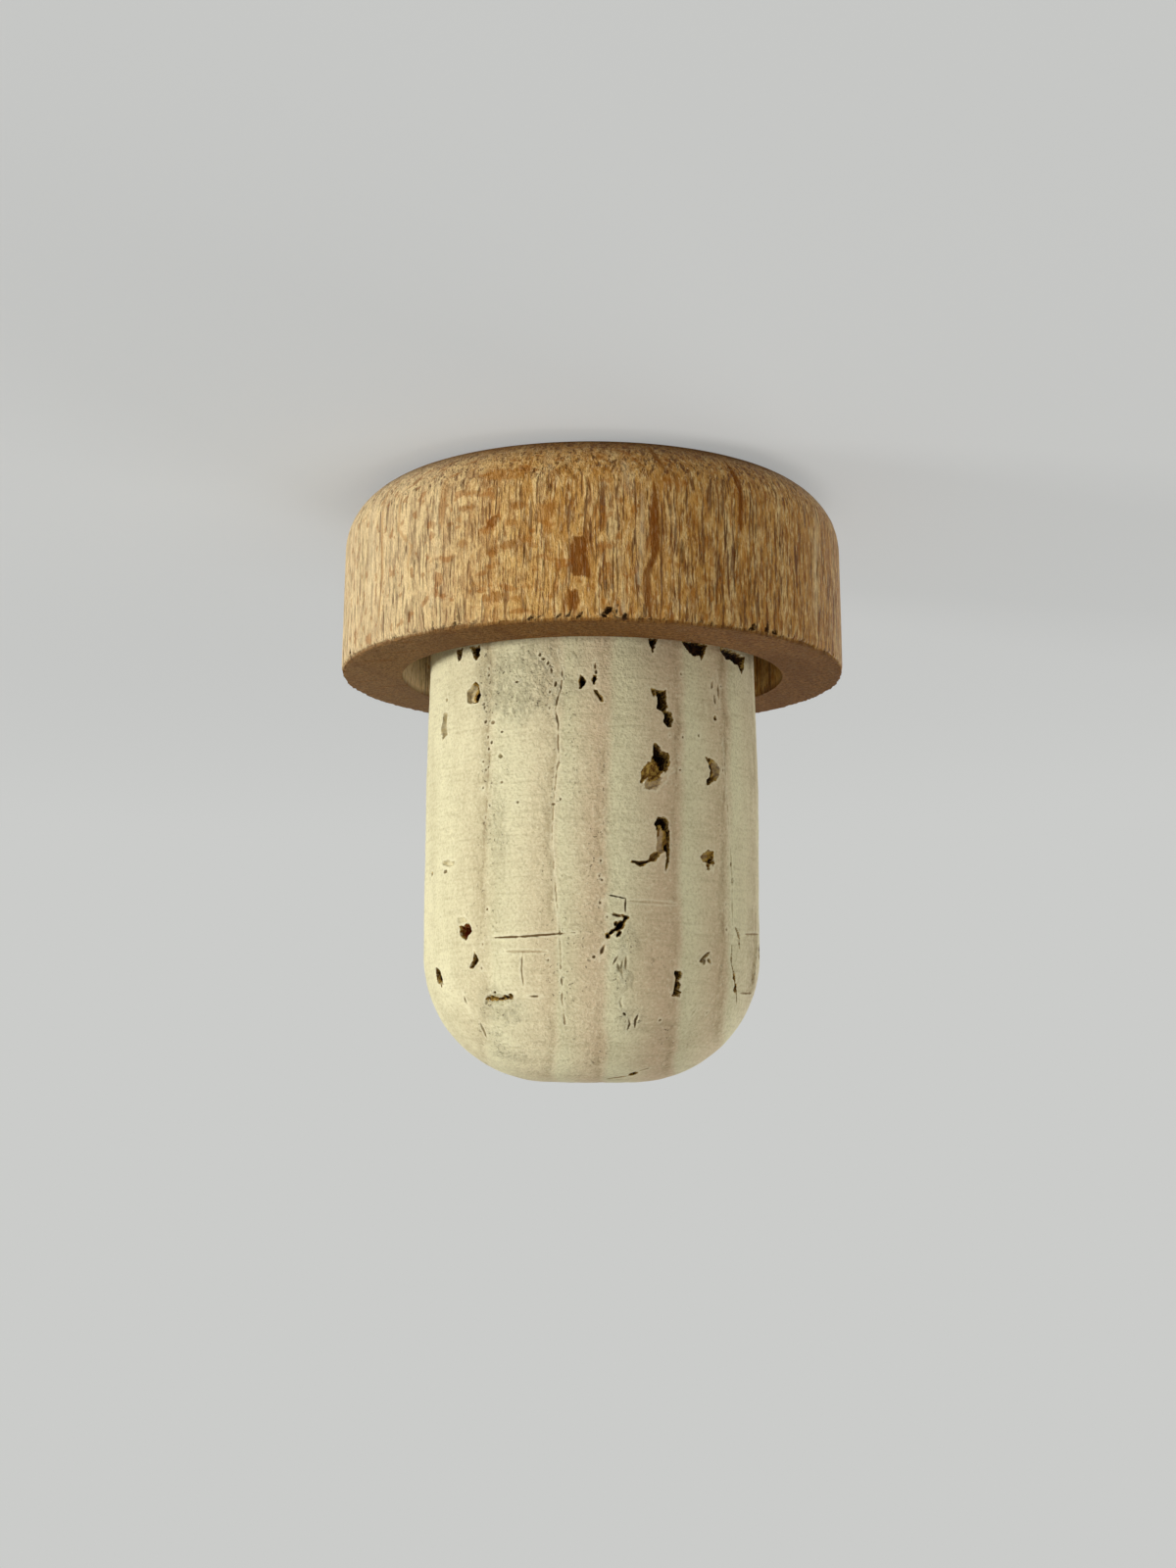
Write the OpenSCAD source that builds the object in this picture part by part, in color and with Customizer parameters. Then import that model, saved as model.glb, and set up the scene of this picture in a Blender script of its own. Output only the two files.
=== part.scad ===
// A bar-top bottle stopper: a turned wooden head with a recess in its underside, and a
// natural cork shank glued on the recess's floor. It stands on the flat top of its head,
// with the shank pointing up, so z = 0 is the top of the head.

/* [Wooden head] */
// Diameter of the head at its lower edge, the widest place
head_d = 30.4; // [28:0.1:36]
// Diameter of the head where the wall meets the rounded top edge
head_top_d = 30.2; // [27:0.1:36]
// Height of the head from its flat top to its underside
head_h = 11; // [8:0.1:16]
// Radius of the rounded top edge
top_round = 3.5; // [1:0.1:6]
// Width of the broken lower edge
edge_break = 0.15; // [0.05:0.05:0.5]

/* [Recess in the underside] */
// Gap between the cork and the recess's wall, all round
recess_gap = 1.5; // [0.5:0.1:2.5]
// Depth of the recess
recess_depth = 2.8; // [1:0.1:5]

/* [Cork shank] */
// Diameter of the straight run, which grips the bottle's neck
shank_d = 20; // [17:0.1:23]
// Diameter of the cork where it comes out of the head
neck_d = 19.7; // [16:0.1:22]
// Length of the slight taper below the head
neck_len = 7; // [3:0.1:10]
// Whole length of the cork, from the recess's floor to its end
cork_len = 27; // [22:0.1:35]
// Radius of the rounded end
end_round = 7.5; // [3:0.1:8]

/* [Wear] */
// Size of the largest pit in the cork, along the shank
pit_len = 2.3; // [1:0.1:3]
// Size of the largest chip in the head's lower edge
chip_d = 0.9; // [0.3:0.1:1.5]

/* [Hidden] */
$fn = 96;

head_r = head_d / 2;
head_top_r = head_top_d / 2;
shank_r = shank_d / 2;
neck_r = neck_d / 2;
recess_r = shank_r + recess_gap;
recess_floor = head_h - recess_depth;
cork_out = cork_len - recess_depth;
cork_end = head_h + cork_out;
neck_end = head_h + neck_len;
round_start = cork_end - end_round;
flat_r = shank_r - end_round;

// Natural pits in the cork's surface. Each one is
// [turn from the front, share of the way from the head to the cork's end, lean,
//  length and width as shares of the largest pit's length]
PITS = [
    [42, 0.10, 0, 0.44, 0.24],
    [3, 0.09, 0, 0.40, 0.15],
    [-23, 0.12, 8, 0.55, 0.24],
    [-25, 0.18, -8, 0.34, 0.20],
    [-22, 0.28, 12, 1.00, 0.50],
    [-24, 0.43, 4, 0.90, 0.26],
    [-44, 0.28, -15, 0.55, 0.28],
    [-41, 0.49, 10, 0.42, 0.30],
    [46, 0.66, 20, 0.40, 0.32],
    [41, 0.73, 10, 0.38, 0.16],
    [66, 0.76, 0, 0.44, 0.20],
    [-8, 0.66, 15, 0.50, 0.30],
    [-29, 0.79, -5, 0.60, 0.20],
    [-56, 0.76, 5, 0.50, 0.18],
    [98, 0.35, 10, 0.70, 0.34],
    [131, 0.62, -10, 0.50, 0.26],
    [158, 0.22, 5, 0.60, 0.22],
    [184, 0.48, 15, 0.85, 0.36],
    [-139, 0.72, 0, 0.55, 0.28],
    [-112, 0.30, -10, 0.60, 0.24],
    [-93, 0.58, 8, 0.45, 0.30]
];

// How far the small groove at a pit's foot leans from it, in degrees
foot_lean = 30;

// Chips in the head's lower edge. Each one is
// [turn from the front, size and distance up the wall as shares of the largest chip's size]
CHIPS = [
    [-3.5, 1, 0.55],
    [7, 0.45, 0.1],
    [-128, 0.6, 0.2]
];

// Radius of the cork at a height above the recess's floor
function cork_r(z) =
    z < neck_end ? neck_r + (shank_r - neck_r) * max(0, z - head_h) / neck_len :
    z < round_start ? shank_r :
    flat_r + sqrt(max(0, pow(end_round, 2) - pow(z - round_start, 2)));

// A quarter of a disc, which fills the corner of a square of side r
module quarter_disc(r) {
    intersection() {
        circle(r = r);
        square(r);
    }
}

// An angular groove lying along the shank and sunk by half its width, with a smaller one across
// its foot, as a pore that broke open leaves it
module pit(turn, share, lean, length, width) {
    r = width * pit_len / 2;
    run = length * pit_len;
    z = head_h + share * cork_out;
    rotate([0, 0, turn])
        translate([0, -cork_r(z), z])
            rotate([0, lean, 0]) {
                cylinder(r = r, h = run, center = true, $fn = 6);
                translate([r / 2, 0, -run / 4])
                    rotate([0, foot_lean, 0])
                        cylinder(r = 0.7 * r, h = run / 2, center = true, $fn = 5);
            }
}

module chip(turn, size, rise) {
    rotate([0, 0, turn])
        translate([0, -head_r, head_h - rise * chip_d])
            sphere(r = size * chip_d / 2);
}

// Half of the head's section, with the top edge rounded and the recess cut out
module head_outline() {
    difference() {
        union() {
            square([head_top_r - top_round, top_round]);
            translate([head_top_r - top_round, top_round])
                mirror([0, 1]) quarter_disc(top_round);
            polygon([
                [0, top_round],
                [head_top_r, top_round],
                [head_r, head_h - edge_break],
                [head_r - edge_break, head_h],
                [0, head_h]
            ]);
        }
        translate([0, recess_floor]) square([recess_r, 2 * recess_depth]);
    }
}

// Half of the cork's section, from the recess's floor to the rounded end
module cork_outline() {
    polygon([
        [0, recess_floor],
        [neck_r, recess_floor],
        [neck_r, head_h],
        [shank_r, neck_end],
        [shank_r, round_start],
        [0, round_start]
    ]);
    translate([0, round_start]) square([flat_r, end_round]);
    translate([flat_r, round_start]) quarter_disc(end_round);
}

module wood_head() {
    color([0.74, 0.56, 0.36])
    difference() {
        rotate_extrude() head_outline();
        for (c = CHIPS) chip(c[0], c[1], c[2]);
    }
}

module cork_shank() {
    color([0.85, 0.80, 0.67])
    difference() {
        rotate_extrude() cork_outline();
        for (p = PITS) pit(p[0], p[1], p[2], p[3], p[4]);
    }
}

wood_head();
cork_shank();
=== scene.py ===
# %% [markdown]
# # A bottle stopper with a wooden head and a cork shank
# The real object is two turned pieces glued together: a thick round head of beech, with a recess in
# its underside, and a shank of natural cork that grips the bottle's neck. It stands on the flat top
# of its head. This notebook dresses the measured solids of those two pieces: each gets a skin with
# its own pores, chips and grain, and a material made only of shader nodes, in a small studio.

# %% Load the frame
import math
from functools import reduce

import bpy
import numpy as np
from mathutils import Matrix, Vector


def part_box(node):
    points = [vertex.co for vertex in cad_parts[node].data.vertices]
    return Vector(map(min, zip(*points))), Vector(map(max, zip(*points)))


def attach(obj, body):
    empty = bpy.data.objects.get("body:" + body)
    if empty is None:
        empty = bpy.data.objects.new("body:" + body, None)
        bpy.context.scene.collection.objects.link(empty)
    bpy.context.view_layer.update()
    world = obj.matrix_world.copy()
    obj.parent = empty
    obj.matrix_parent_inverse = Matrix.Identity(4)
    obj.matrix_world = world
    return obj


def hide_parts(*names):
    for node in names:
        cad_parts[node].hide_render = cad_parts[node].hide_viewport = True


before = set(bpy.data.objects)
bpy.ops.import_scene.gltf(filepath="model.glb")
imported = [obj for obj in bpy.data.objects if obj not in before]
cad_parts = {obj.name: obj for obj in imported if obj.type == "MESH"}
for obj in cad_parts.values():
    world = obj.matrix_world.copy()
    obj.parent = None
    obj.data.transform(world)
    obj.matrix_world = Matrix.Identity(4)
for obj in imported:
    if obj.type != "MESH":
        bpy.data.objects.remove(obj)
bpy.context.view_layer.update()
print("solids:", sorted(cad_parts))

# %% [markdown]
# ## Sizes
# The solids give the sizes that can be read from a box: the head's radius and height, and the cork's
# radius and both its ends. What a box doesn't tell, such as the taper below the head or the radius of
# the rounded end, is named here in millimetres, as the solids have it. Measuring from the solids keeps
# the dressing in step with them if they are built again at another size.

# %% Sizes in millimetres
MM = 0.001
head_low, head_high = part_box("wood_head")
cork_low, cork_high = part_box("cork_shank")
head_r = head_high.x / MM
underside = head_high.z / MM
cork_r = cork_high.x / MM
recess_floor = cork_low.z / MM
cork_end = cork_high.z / MM
wall_draft = 0.1
top_round = 3.5
edge_break = 0.15
recess_gap = 1.5
neck_r = cork_r - 0.15
neck_len = 7.0
end_round = 7.5
head_size = 2 * head_r, underside - head_low.z / MM
cork_size = 2 * cork_r, cork_end - recess_floor
print("head %.1f x %.1f mm, cork %.1f x %.1f mm" % (*head_size, *cork_size))

# %% [markdown]
# ## Camera
# The stopper is seen from a little above its underside, with a lens of about 50 mm, and the camera is
# turned half round about its own axis. So the picture shows the head at the top and the cork hanging
# from it, while the real thing stands safely on its head. Aiming a camera takes three steps: place
# it, turn it towards a point, then roll it.

# %% Place the camera
view_tilt = math.radians(9.25)
view_roll = math.radians(180.1)
view_distance = 125.9 * MM
aim = Vector((0.24 * MM, 0, 17.4 * MM))
lens_mm = 48.0

camera_data = bpy.data.cameras.new("stopper_camera")
camera_data.lens = lens_mm
camera_data.sensor_width = 36.0
camera_data.clip_start = 1 * MM
camera = bpy.data.objects.new("stopper_camera", camera_data)
bpy.context.scene.collection.objects.link(camera)
back = Vector((0, -math.cos(view_tilt), math.sin(view_tilt)))
camera.location = aim + back * view_distance
turned = (-back).to_track_quat("-Z", "Y").to_matrix().to_4x4() @ Matrix.Rotation(view_roll, 4, "Z")
camera.rotation_euler = turned.to_euler()
bpy.context.scene.camera = camera
print("camera at", [round(x / MM, 1) for x in camera.location], "mm")

# %% [markdown]
# ## A short way to write shader nodes
# A material is a graph of nodes, and a graph written call by call is hard to read. Two helpers make it
# read like a recipe. One adds a node, sets the inputs that are plain numbers or colours and links those
# that come from another node. The other is a small class round what a node gives out, so that a + b,
# a - b and a * b add the node that works them out.

# %% Nodes and what they give out
class Field:
    """A number, colour or place that varies over a surface: one output of a node."""

    def __init__(self, socket):
        self.socket = socket
        self.tree = socket.id_data

    def __add__(self, other):
        return maths("ADD", self, other)

    def __sub__(self, other):
        return maths("SUBTRACT", self, other)

    def __mul__(self, other):
        return maths("MULTIPLY", self, other)

    def kept_in_range(self):
        """The same result of arithmetic, held between 0 and 1."""
        self.socket.node.use_clamp = True
        return self


def put(tree, kind, inputs=(), output=0, **settings):
    """Adds a node, sets its inputs or links them to fields, and gives the field of one output."""
    made = tree.nodes.new("ShaderNode" + kind)
    for key, value in settings.items():
        setattr(made, key, value)
    for key, value in dict(inputs).items():
        if isinstance(value, Field):
            tree.links.new(value.socket, made.inputs[key])
        else:
            made.inputs[key].default_value = value
    return Field(made.outputs[output]) if made.outputs else None


def maths(operation, first, second):
    """One arithmetic step on a field and a second number."""
    return put(first.tree, "Math", {0: first, 1: second}, operation=operation)


def greatest(first, *others):
    """The greatest of some numbers at each place."""
    for other in others:
        first = maths("MAXIMUM", first, other)
    return first


trial = bpy.data.materials.new("trial")
trial.use_nodes = True
doubled = put(trial.node_tree, "Value") * 2.0
print("a field times two comes from a node of type", doubled.socket.node.type)
bpy.data.materials.remove(trial)

# %% [markdown]
# ## Colours, steps and patterns
# Most of a natural finish is one move made many times: a thin coat of a colour, laid on by an amount
# that varies over the surface. The amount comes from noise, from the place on the object, or from a
# number that the mesh carries at its points, and a soft step turns any of them into an amount from 0
# to 1. A coat could also multiply or screen what is under it, but plain mixing keeps each colour as
# it is written.

# %% Coats of colour
def new_material(name):
    """A material with an empty node tree, and that tree."""
    material = bpy.data.materials.new(name)
    material.use_nodes = True
    material.node_tree.nodes.clear()
    return material, material.node_tree


def srgb(red, green, blue):
    """A colour given as a paint program shows it, from 0 to 255, in the linear values that nodes take."""
    parts = [c / 255 for c in (red, green, blue)]
    return (*[p / 12.92 if p <= 0.04045 else ((p + 0.055) / 1.055) ** 2.4 for p in parts], 1.0)


def blended(amount, under, over):
    """The colour over laid on the colour under, by amount."""
    return put(amount.tree, "Mix", {0: amount, 6: under, 7: over}, output=2, data_type="RGBA")


def layered(base, *coats):
    """A colour with coats laid on it one after the other. A coat is (amount, colour)."""
    for amount, colour in coats:
        base = blended(amount, base, colour)
    return base


def step_between(value, low, high, to_low=0.0, to_high=1.0):
    """A soft step: to_low below low, to_high above high, and smooth between."""
    inputs = {"Value": value, "From Min": low, "From Max": high, "To Min": to_low, "To Max": to_high}
    return put(value.tree, "MapRange", inputs, interpolation_type="SMOOTHSTEP")


def coat(value, low, high, most_of_it, colour):
    """A coat that grows from nothing at low to its most at high."""
    return step_between(value, low, high, 0, most_of_it), colour


print("middle grey is", round(srgb(128, 128, 128)[0], 3), "in linear light")

# %% Places and patterns
edge_blur = 0.02


def in_mm(tree, turn=0.0, waver=0.0):
    """The place on the object in millimetres, turned about the axis, and wavering by some millimetres."""
    place = put(tree, "TexCoord", output="Object")
    turned = put(tree, "Mapping", {"Vector": place, "Rotation": (0, 0, turn)})
    millimetres = stretched(turned, *[1 / MM] * 3)
    if waver == 0:
        return millimetres
    drift = put(tree, "TexNoise", {"Vector": millimetres, "Scale": 0.45, "Detail": 2.0}, output="Color")
    drift = put(tree, "VectorMath", {0: drift, 1: [0.5] * 3}, operation="SUBTRACT")
    drift = put(tree, "VectorMath", {0: drift, "Scale": 2 * waver}, operation="SCALE")
    return put(tree, "VectorMath", {0: millimetres, 1: drift}, operation="ADD")


def stretched(place, x, y, z):
    """A place scaled along each axis, so that a pattern on it comes out longer where the factor is small."""
    return put(place.tree, "VectorMath", {0: place, 1: (x, y, z)}, operation="MULTIPLY")


def noise(place, scale, detail=2.0, rough=0.5):
    """Cloudy noise from 0 to 1."""
    inputs = {"Vector": place, "Scale": scale, "Detail": detail, "Roughness": rough}
    return put(place.tree, "TexNoise", inputs, output="Fac")


def painted(tree, name):
    """A number that the mesh carries at each of its points."""
    return put(tree, "Attribute", output="Fac", attribute_name=name)


def inside_of(name, ragged, out):
    """1 inside the mark whose edge is a painted gap in millimetres, moved out a little and made ragged."""
    return step_between(painted(ragged.tree, name) + ragged, out + edge_blur, out - edge_blur)


def surfaced(tree, colour, roughness, height, depth, shine):
    """Ends a material: colour, roughness and relief, with a depth in millimetres, make one surface."""
    bump = put(tree, "Bump", {"Height": height, "Strength": 1.0, "Distance": depth * MM})
    inputs = {"Base Color": colour, "Roughness": roughness, "Normal": bump, "Specular IOR Level": shine}
    surface = put(tree, "BsdfPrincipled", inputs)
    put(tree, "OutputMaterial", {"Surface": surface})


print("marks have edges that are", 2 * edge_blur, "mm soft")

# %% [markdown]
# ## The studio
# A pale floor takes the stopper's shadow. It is shown partly in the backdrop's own plain colour, and
# wholly so far from the stopper, which makes it pale without any more light on the wood, and hides
# its edge from every side. That is only for what the camera, a gloss or a glass sees: for all other
# light the floor stays a matte surface.

# %% Floor and backdrop
backdrop = srgb(203, 204, 202)
floor_paint = srgb(222, 223, 221)
plain_near, plain_far = 0.55, 1.0
fade_from, fade_to = 0.03, 0.16
floor_size = 2.0


def seen_directly(tree):
    """1 for a ray that comes from the camera, a gloss or a glass, and 0 for diffuse light."""
    kinds = ("Is Camera Ray", "Is Glossy Ray", "Is Transmission Ray")
    return greatest(*[put(tree, "LightPath", output=kind) for kind in kinds])


floor_mesh = bpy.data.meshes.new("studio_floor")
corners = [(-1, -1), (1, -1), (1, 1), (-1, 1)]
floor_mesh.from_pydata([(x * floor_size, y * floor_size, 0) for x, y in corners], [], [(0, 1, 2, 3)])
studio_floor = bpy.data.objects.new("studio_floor", floor_mesh)
bpy.context.scene.collection.objects.link(studio_floor)

floor_finish, tree = new_material("floor_finish")
matte = put(tree, "BsdfDiffuse", {"Color": floor_paint})
plain = put(tree, "Emission", {"Color": backdrop, "Strength": 1.0})
place = put(tree, "TexCoord", output="Object")
distance = put(tree, "VectorMath", {0: place}, output="Value", operation="LENGTH")
shown_plain = step_between(distance, fade_from, fade_to, plain_near, plain_far) * seen_directly(tree)
put(tree, "OutputMaterial", {"Surface": put(tree, "MixShader", {0: shown_plain, 1: matte, 2: plain})})
floor_mesh.materials.append(floor_finish)
print(f"floor {2 * floor_size:.0f} m wide, shown wholly plain from {fade_to / MM:.0f} mm out")

# %% World light, stronger from the sides than from above
level_light, overhead_light = 0.50, 0.26
overhead_from = 0.8
world = bpy.data.worlds.new("studio_world")
world.use_nodes = True
bpy.context.scene.world = world
tree = world.node_tree
tree.nodes.clear()
direction = put(tree, "TexCoord", output="Generated")
upwards = put(tree, "SeparateXYZ", {0: direction}, output="Z")
strength = step_between(upwards, 0.0, overhead_from, level_light, overhead_light)
soft_light = put(tree, "Background", {"Color": (1, 1, 1, 1), "Strength": strength})
behind = put(tree, "Background", {"Color": backdrop, "Strength": 1.0})
mixed = put(tree, "MixShader", {0: seen_directly(tree), 1: soft_light, 2: behind})
put(tree, "OutputWorld", {"Surface": mixed})
print("world light", level_light, "from the sides and", overhead_light, "from above")

# %% [markdown]
# ## Lamps
# Four soft panels: the key is low on the side that the camera has at its left, weaker ones stand on
# the other side and behind, and one hangs overhead to draw a shadow on the floor. A low key rakes over
# the wall and the shank, which shows their relief, and leaves the head's underside in its own shade.
# A single hard lamp would show the relief still better, but it would hide half of the stopper.

# %% Lamps
def panel(name, place, aim_at, width, height, watts):
    """A soft panel that faces a point. Places and sizes are in metres."""
    data = bpy.data.lights.new(name, "AREA")
    data.shape = "RECTANGLE"
    data.size = width
    data.size_y = height
    data.energy = watts
    lamp = bpy.data.objects.new(name, data)
    lamp.location = place
    lamp.rotation_euler = (Vector(aim_at) - Vector(place)).to_track_quat("-Z", "Y").to_euler()
    bpy.context.scene.collection.objects.link(lamp)
    print(f"{name}: {watts} W")


middle = (0, 0, cork_end * MM / 2)
panel("key_panel", (0.345, -0.135, 0.055), middle, 0.12, 0.09, 1.22)
panel("side_panel", (-0.25, -0.30, 0.07), middle, 0.20, 0.10, 0.22)
panel("back_panel", (-0.22, 0.33, 0.10), middle, 0.20, 0.12, 0.7)
panel("top_panel", (-0.10, -0.10, 0.45), middle, 0.25, 0.25, 0.40)

# %% [markdown]
# ## Noise for shapes
# A shader's noise can't move points, so the skins need a noise of their own. Each corner of a lattice
# of cells gets a fixed random number, and a point between corners takes a smooth mix of the eight
# round it. The lattice is tilted, or its cells would show as level and upright lines. The same place
# always gets the same value, which keeps the piece the same in every run.

# %% Noise for shapes
tilted = np.array(Matrix.Rotation(0.7, 3, (1, 2, 3)))
corner_steps = np.array([127.1, 311.7, 74.7])
seed_step, scatter = 17.31, 43758.5453


def soft_noise(points, seed=0):
    """Smooth noise from -1 to 1 at each point, with bumps one unit across."""
    points = points @ tilted
    cell = np.floor(points)
    part = points - cell
    part = part * part * (3 - 2 * part)
    total = np.zeros(len(points))
    for corner in np.ndindex(2, 2, 2):
        weight = np.prod(np.where(corner, part, 1 - part), axis=-1)
        mixed = (cell + corner) @ corner_steps + seed * seed_step
        total += weight * ((np.sin(mixed) * scatter) % 1)
    return 2 * total - 1


def bumps(points, scale, seed):
    """Bumps from 0 to 2 high, with scale of them to a millimetre, or with a scale for each axis."""
    return 1 + soft_noise(points * scale, seed)


def smooth_step(low, high, value):
    """0 below low, 1 above high, and smooth between."""
    t = np.clip((value - low) / (high - low), 0, 1)
    return t * t * (3 - 2 * t)


print("noise at four places:", soft_noise(np.arange(12).reshape(4, 3) / 3).round(2))

# %% [markdown]
# ## A turned skin
# Both pieces are turned, so each is an outline spun about the axis. A plain spin would spend the same
# number of faces on smooth wood as on a torn pore. So the skin is laid out flat first, as a sheet of
# cells: round the piece one way and along the outline the other way. Cells with detail in them are cut
# finer, and their plain neighbours just take the extra corners. Then the sheet is rolled up. Sculpting
# or a displacement modifier on a fine mesh would do too, at many times the number of faces.

# %% Outlines
def straight(start, end, spacing):
    """Points from start to end, about spacing apart."""
    count = max(1, round(math.dist(start, end) / spacing))
    return [tuple(p) for p in np.linspace(start, end, count + 1)]


def bend(centre, radius, from_deg, to_deg, spacing):
    """Points on an arc. Degrees are from outwards, and 90 is up."""
    count = max(2, round(abs(math.radians(to_deg - from_deg)) * radius / spacing))
    turns = np.radians(np.linspace(from_deg, to_deg, count + 1))
    return [(centre[0] + radius * math.cos(t), centre[1] + radius * math.sin(t)) for t in turns]


class Outline:
    """Half of a turned piece's section, from the axis round to the axis again, as (radius, height)."""

    def __init__(self, *stretches):
        points = [stretches[0][0]]
        for stretch in stretches:
            points += stretch[1:]
        self.points = np.array(points)
        steps = np.diff(self.points, axis=0)
        lengths = np.hypot(*steps.T)
        self.along = np.concatenate([[0], np.cumsum(lengths)])
        out = np.stack([steps[:, 1], -steps[:, 0]], 1) / lengths[:, None]
        out = np.concatenate([out[:1], out[:-1] + out[1:], out[-1:]])
        self.out = out / np.hypot(*out.T)[:, None]

    def at(self, along):
        """Radius and height at distances along the outline."""
        return [np.interp(along, self.along, self.points[:, i]) for i in (0, 1)]

    def outward(self, along):
        """The outward direction there, as its part away from the axis and its part upwards."""
        parts = [np.interp(along, self.along, self.out[:, i]) for i in (0, 1)]
        return [p / np.hypot(*parts) for p in parts]


print("a quarter bend of the cork's end takes", len(bend((0, 0), end_round, 0, 90, 0.3)), "points")

# %% Cells, cut finer where there is detail
def sheet_cells(columns, rows, detailed, cuts):
    """Corners of a sheet that closes round, and its faces. Corners are in finest steps, (round, along)."""
    index, faces = {}, []

    def corner(i, j):
        return index.setdefault((i, j), len(index))

    for i in range(columns):
        for j in range(rows):
            x, y = i * cuts, j * cuts
            if detailed[i, j]:
                for a in range(x, x + cuts):
                    for b in range(y, y + cuts):
                        faces.append([(a, b), (a + 1, b), (a + 1, b + 1), (a, b + 1)])
                continue
            loop = []
            sides = [
                (j > 0 and detailed[i, j - 1], (x, y), (1, 0)),
                (detailed[(i + 1) % columns, j], (x + cuts, y), (0, 1)),
                (j < rows - 1 and detailed[i, j + 1], (x + cuts, y + cuts), (-1, 0)),
                (detailed[i - 1, j], (x, y + cuts), (0, -1)),
            ]
            for fine, (a, b), (da, db) in sides:
                for k in range(cuts if fine else 1):
                    loop.append((a + da * k, b + db * k))
            faces.append(loop)
    wrap = columns * cuts
    ids = [[corner(a % wrap, b) for a, b in face] for face in faces]
    return np.array(list(index)), ids, faces


one_fine_cell = np.arange(12).reshape(4, 3) == 4
print("one fine cell of twelve makes", len(sheet_cells(4, 3, one_fine_cell, 5)[1]), "faces")

# %% Close the ends
def end_fans(corners, rows, columns, cuts, tips):
    """Triangles that close the first and last row round the axis, and where they lie on the sheet."""
    fans, places = [], []
    for row, tip in ((0, tips[0]), (rows * cuts, tips[1])):
        rim = np.flatnonzero(corners[:, 1] == row)
        rim = rim[np.argsort(corners[rim, 0])]
        for k in range(len(rim)):
            a, b = rim[k], rim[(k + 1) % len(rim)]
            at_a = corners[a, 0]
            at_b = corners[b, 0] if k + 1 < len(rim) else columns * cuts
            fan = [a, b, tip]
            place = [(at_a, row), (at_b, row), ((at_a + at_b) / 2, row)]
            if row == 0:
                fan, place = [tip, b, a], [place[2], place[1], place[0]]
            fans.append(fan)
            places.append(place)
    return fans, places


ring_of_two = np.array([(0, 0), (1, 0), (1, 1), (0, 1)])
print("the ends of a ring of two cells take", len(end_fans(ring_of_two, 1, 2, 1, (4, 5))[0]), "triangles")

# %% Make the piece
sharp_edge = math.radians(50)


def piece_from(name, points, faces, flat, paint):
    """A piece from points in millimetres, faces, the faces' places on the sheet, and paint layers."""
    mesh = bpy.data.meshes.new(name)
    mesh.from_pydata(points * MM, [], faces)
    for key, values in paint.items():
        layer = mesh.attributes.new(key, "FLOAT", "POINT")
        layer.data.foreach_set("value", values.astype(np.float32))
    unrolled = mesh.uv_layers.new(name="OFBake")
    unrolled.data.foreach_set("uv", flat.ravel())
    mesh.shade_smooth()
    mesh.set_sharp_from_angle(angle=sharp_edge)
    piece = bpy.data.objects.new(name, mesh)
    bpy.context.scene.collection.objects.link(piece)
    triangles = sum(len(face) - 2 for face in faces)
    print(f"{name}: {len(points)} points, {triangles} triangles")
    return piece


# %% Roll the sheet up
def rolled(turn, radius, height):
    """Places in space. A turn of 0 is the side that faces the camera."""
    return np.stack([radius * np.sin(turn), -radius * np.cos(turn), height], 1)


def turned_skin(name, outline, columns, detail_at, relief, cuts):
    """A closed skin. detail_at says which cells are cut finer, and relief moves and paints its points."""
    rows = len(outline.along) - 3
    along = outline.along[1:-1]
    mid_along = (along[:-1] + along[1:]) / 2
    mid_turn = (np.arange(columns) + 0.5) * 2 * math.pi / columns
    turn, reach = [g.ravel() for g in np.meshgrid(mid_turn, mid_along, indexing="ij")]
    detailed = detail_at(turn, reach).reshape(columns, rows)
    corners, faces, places = sheet_cells(columns, rows, detailed, cuts)

    turn = corners[:, 0] * 2 * math.pi / (columns * cuts)
    reach = np.interp(corners[:, 1] / cuts, np.arange(rows + 1), along)
    radius, height = outline.at(reach)
    out_r, out_z = outline.outward(reach)
    sunk, paint = relief(turn, reach)
    points = rolled(turn, radius - sunk * out_r, height - sunk * out_z)
    tips = (len(points), len(points) + 1)
    points = np.concatenate([points, [(0, 0, outline.points[0, 1]), (0, 0, outline.points[-1, 1])]])
    fans, fan_places = end_fans(corners, rows, columns, cuts, tips)

    flat = np.array([place for face in places + fan_places for place in face], float)
    flat /= (columns * cuts, rows * cuts)
    paint = {key: np.concatenate([values, [0, 0]]) for key, values in paint.items()}
    print(int(detailed.sum()), "of", columns * rows, "cells are cut finer")
    return piece_from(name, points, faces + fans, flat, paint)


print("a quarter turn from the front leads to", rolled(np.array([math.pi / 2]), 1, [0]).round(3)[0])

# %% [markdown]
# ## Marks on a skin
# Every pore, crack, chip and fleck is one of three shapes on the unrolled sheet: a spot, which is an
# oval, a line through a few points, or a patch with corners of its own for the marks that anyone would
# know again. Each gives the gap in millimetres between a point and the mark's edge, which is below
# zero inside the mark. Noise is added to the gap, so no two marks look cut by the same tool. The gaps
# sink the skin, and the skin also carries them as paint: a gap changes slowly from point to point, so
# the finish can draw an edge from it that is sharper than the faces are fine. A painted image could
# only be as sharp as its own grid.
#
# In the tables, turns and leans are in degrees, strengths, stains and grime go from 0 to 1, and all
# else is in millimetres. In the code, where is (turn, along, radius, up): the turns of the points in radians,
# how far along the outline they lie, their radii, and the function that says how far along a given
# height is.

# %% Gaps to marks
def round_about(turn, centre):
    """The shorter way round from a centre in degrees to turn, in radians."""
    return (turn - math.radians(centre) + math.pi) % (2 * math.pi) - math.pi


def from_centre(where, centre, height):
    """How far the points lie round the piece and along it from a centre, in millimetres."""
    turn, along, radius, up = where
    return round_about(turn, centre) * radius, along - up(height)


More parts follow.
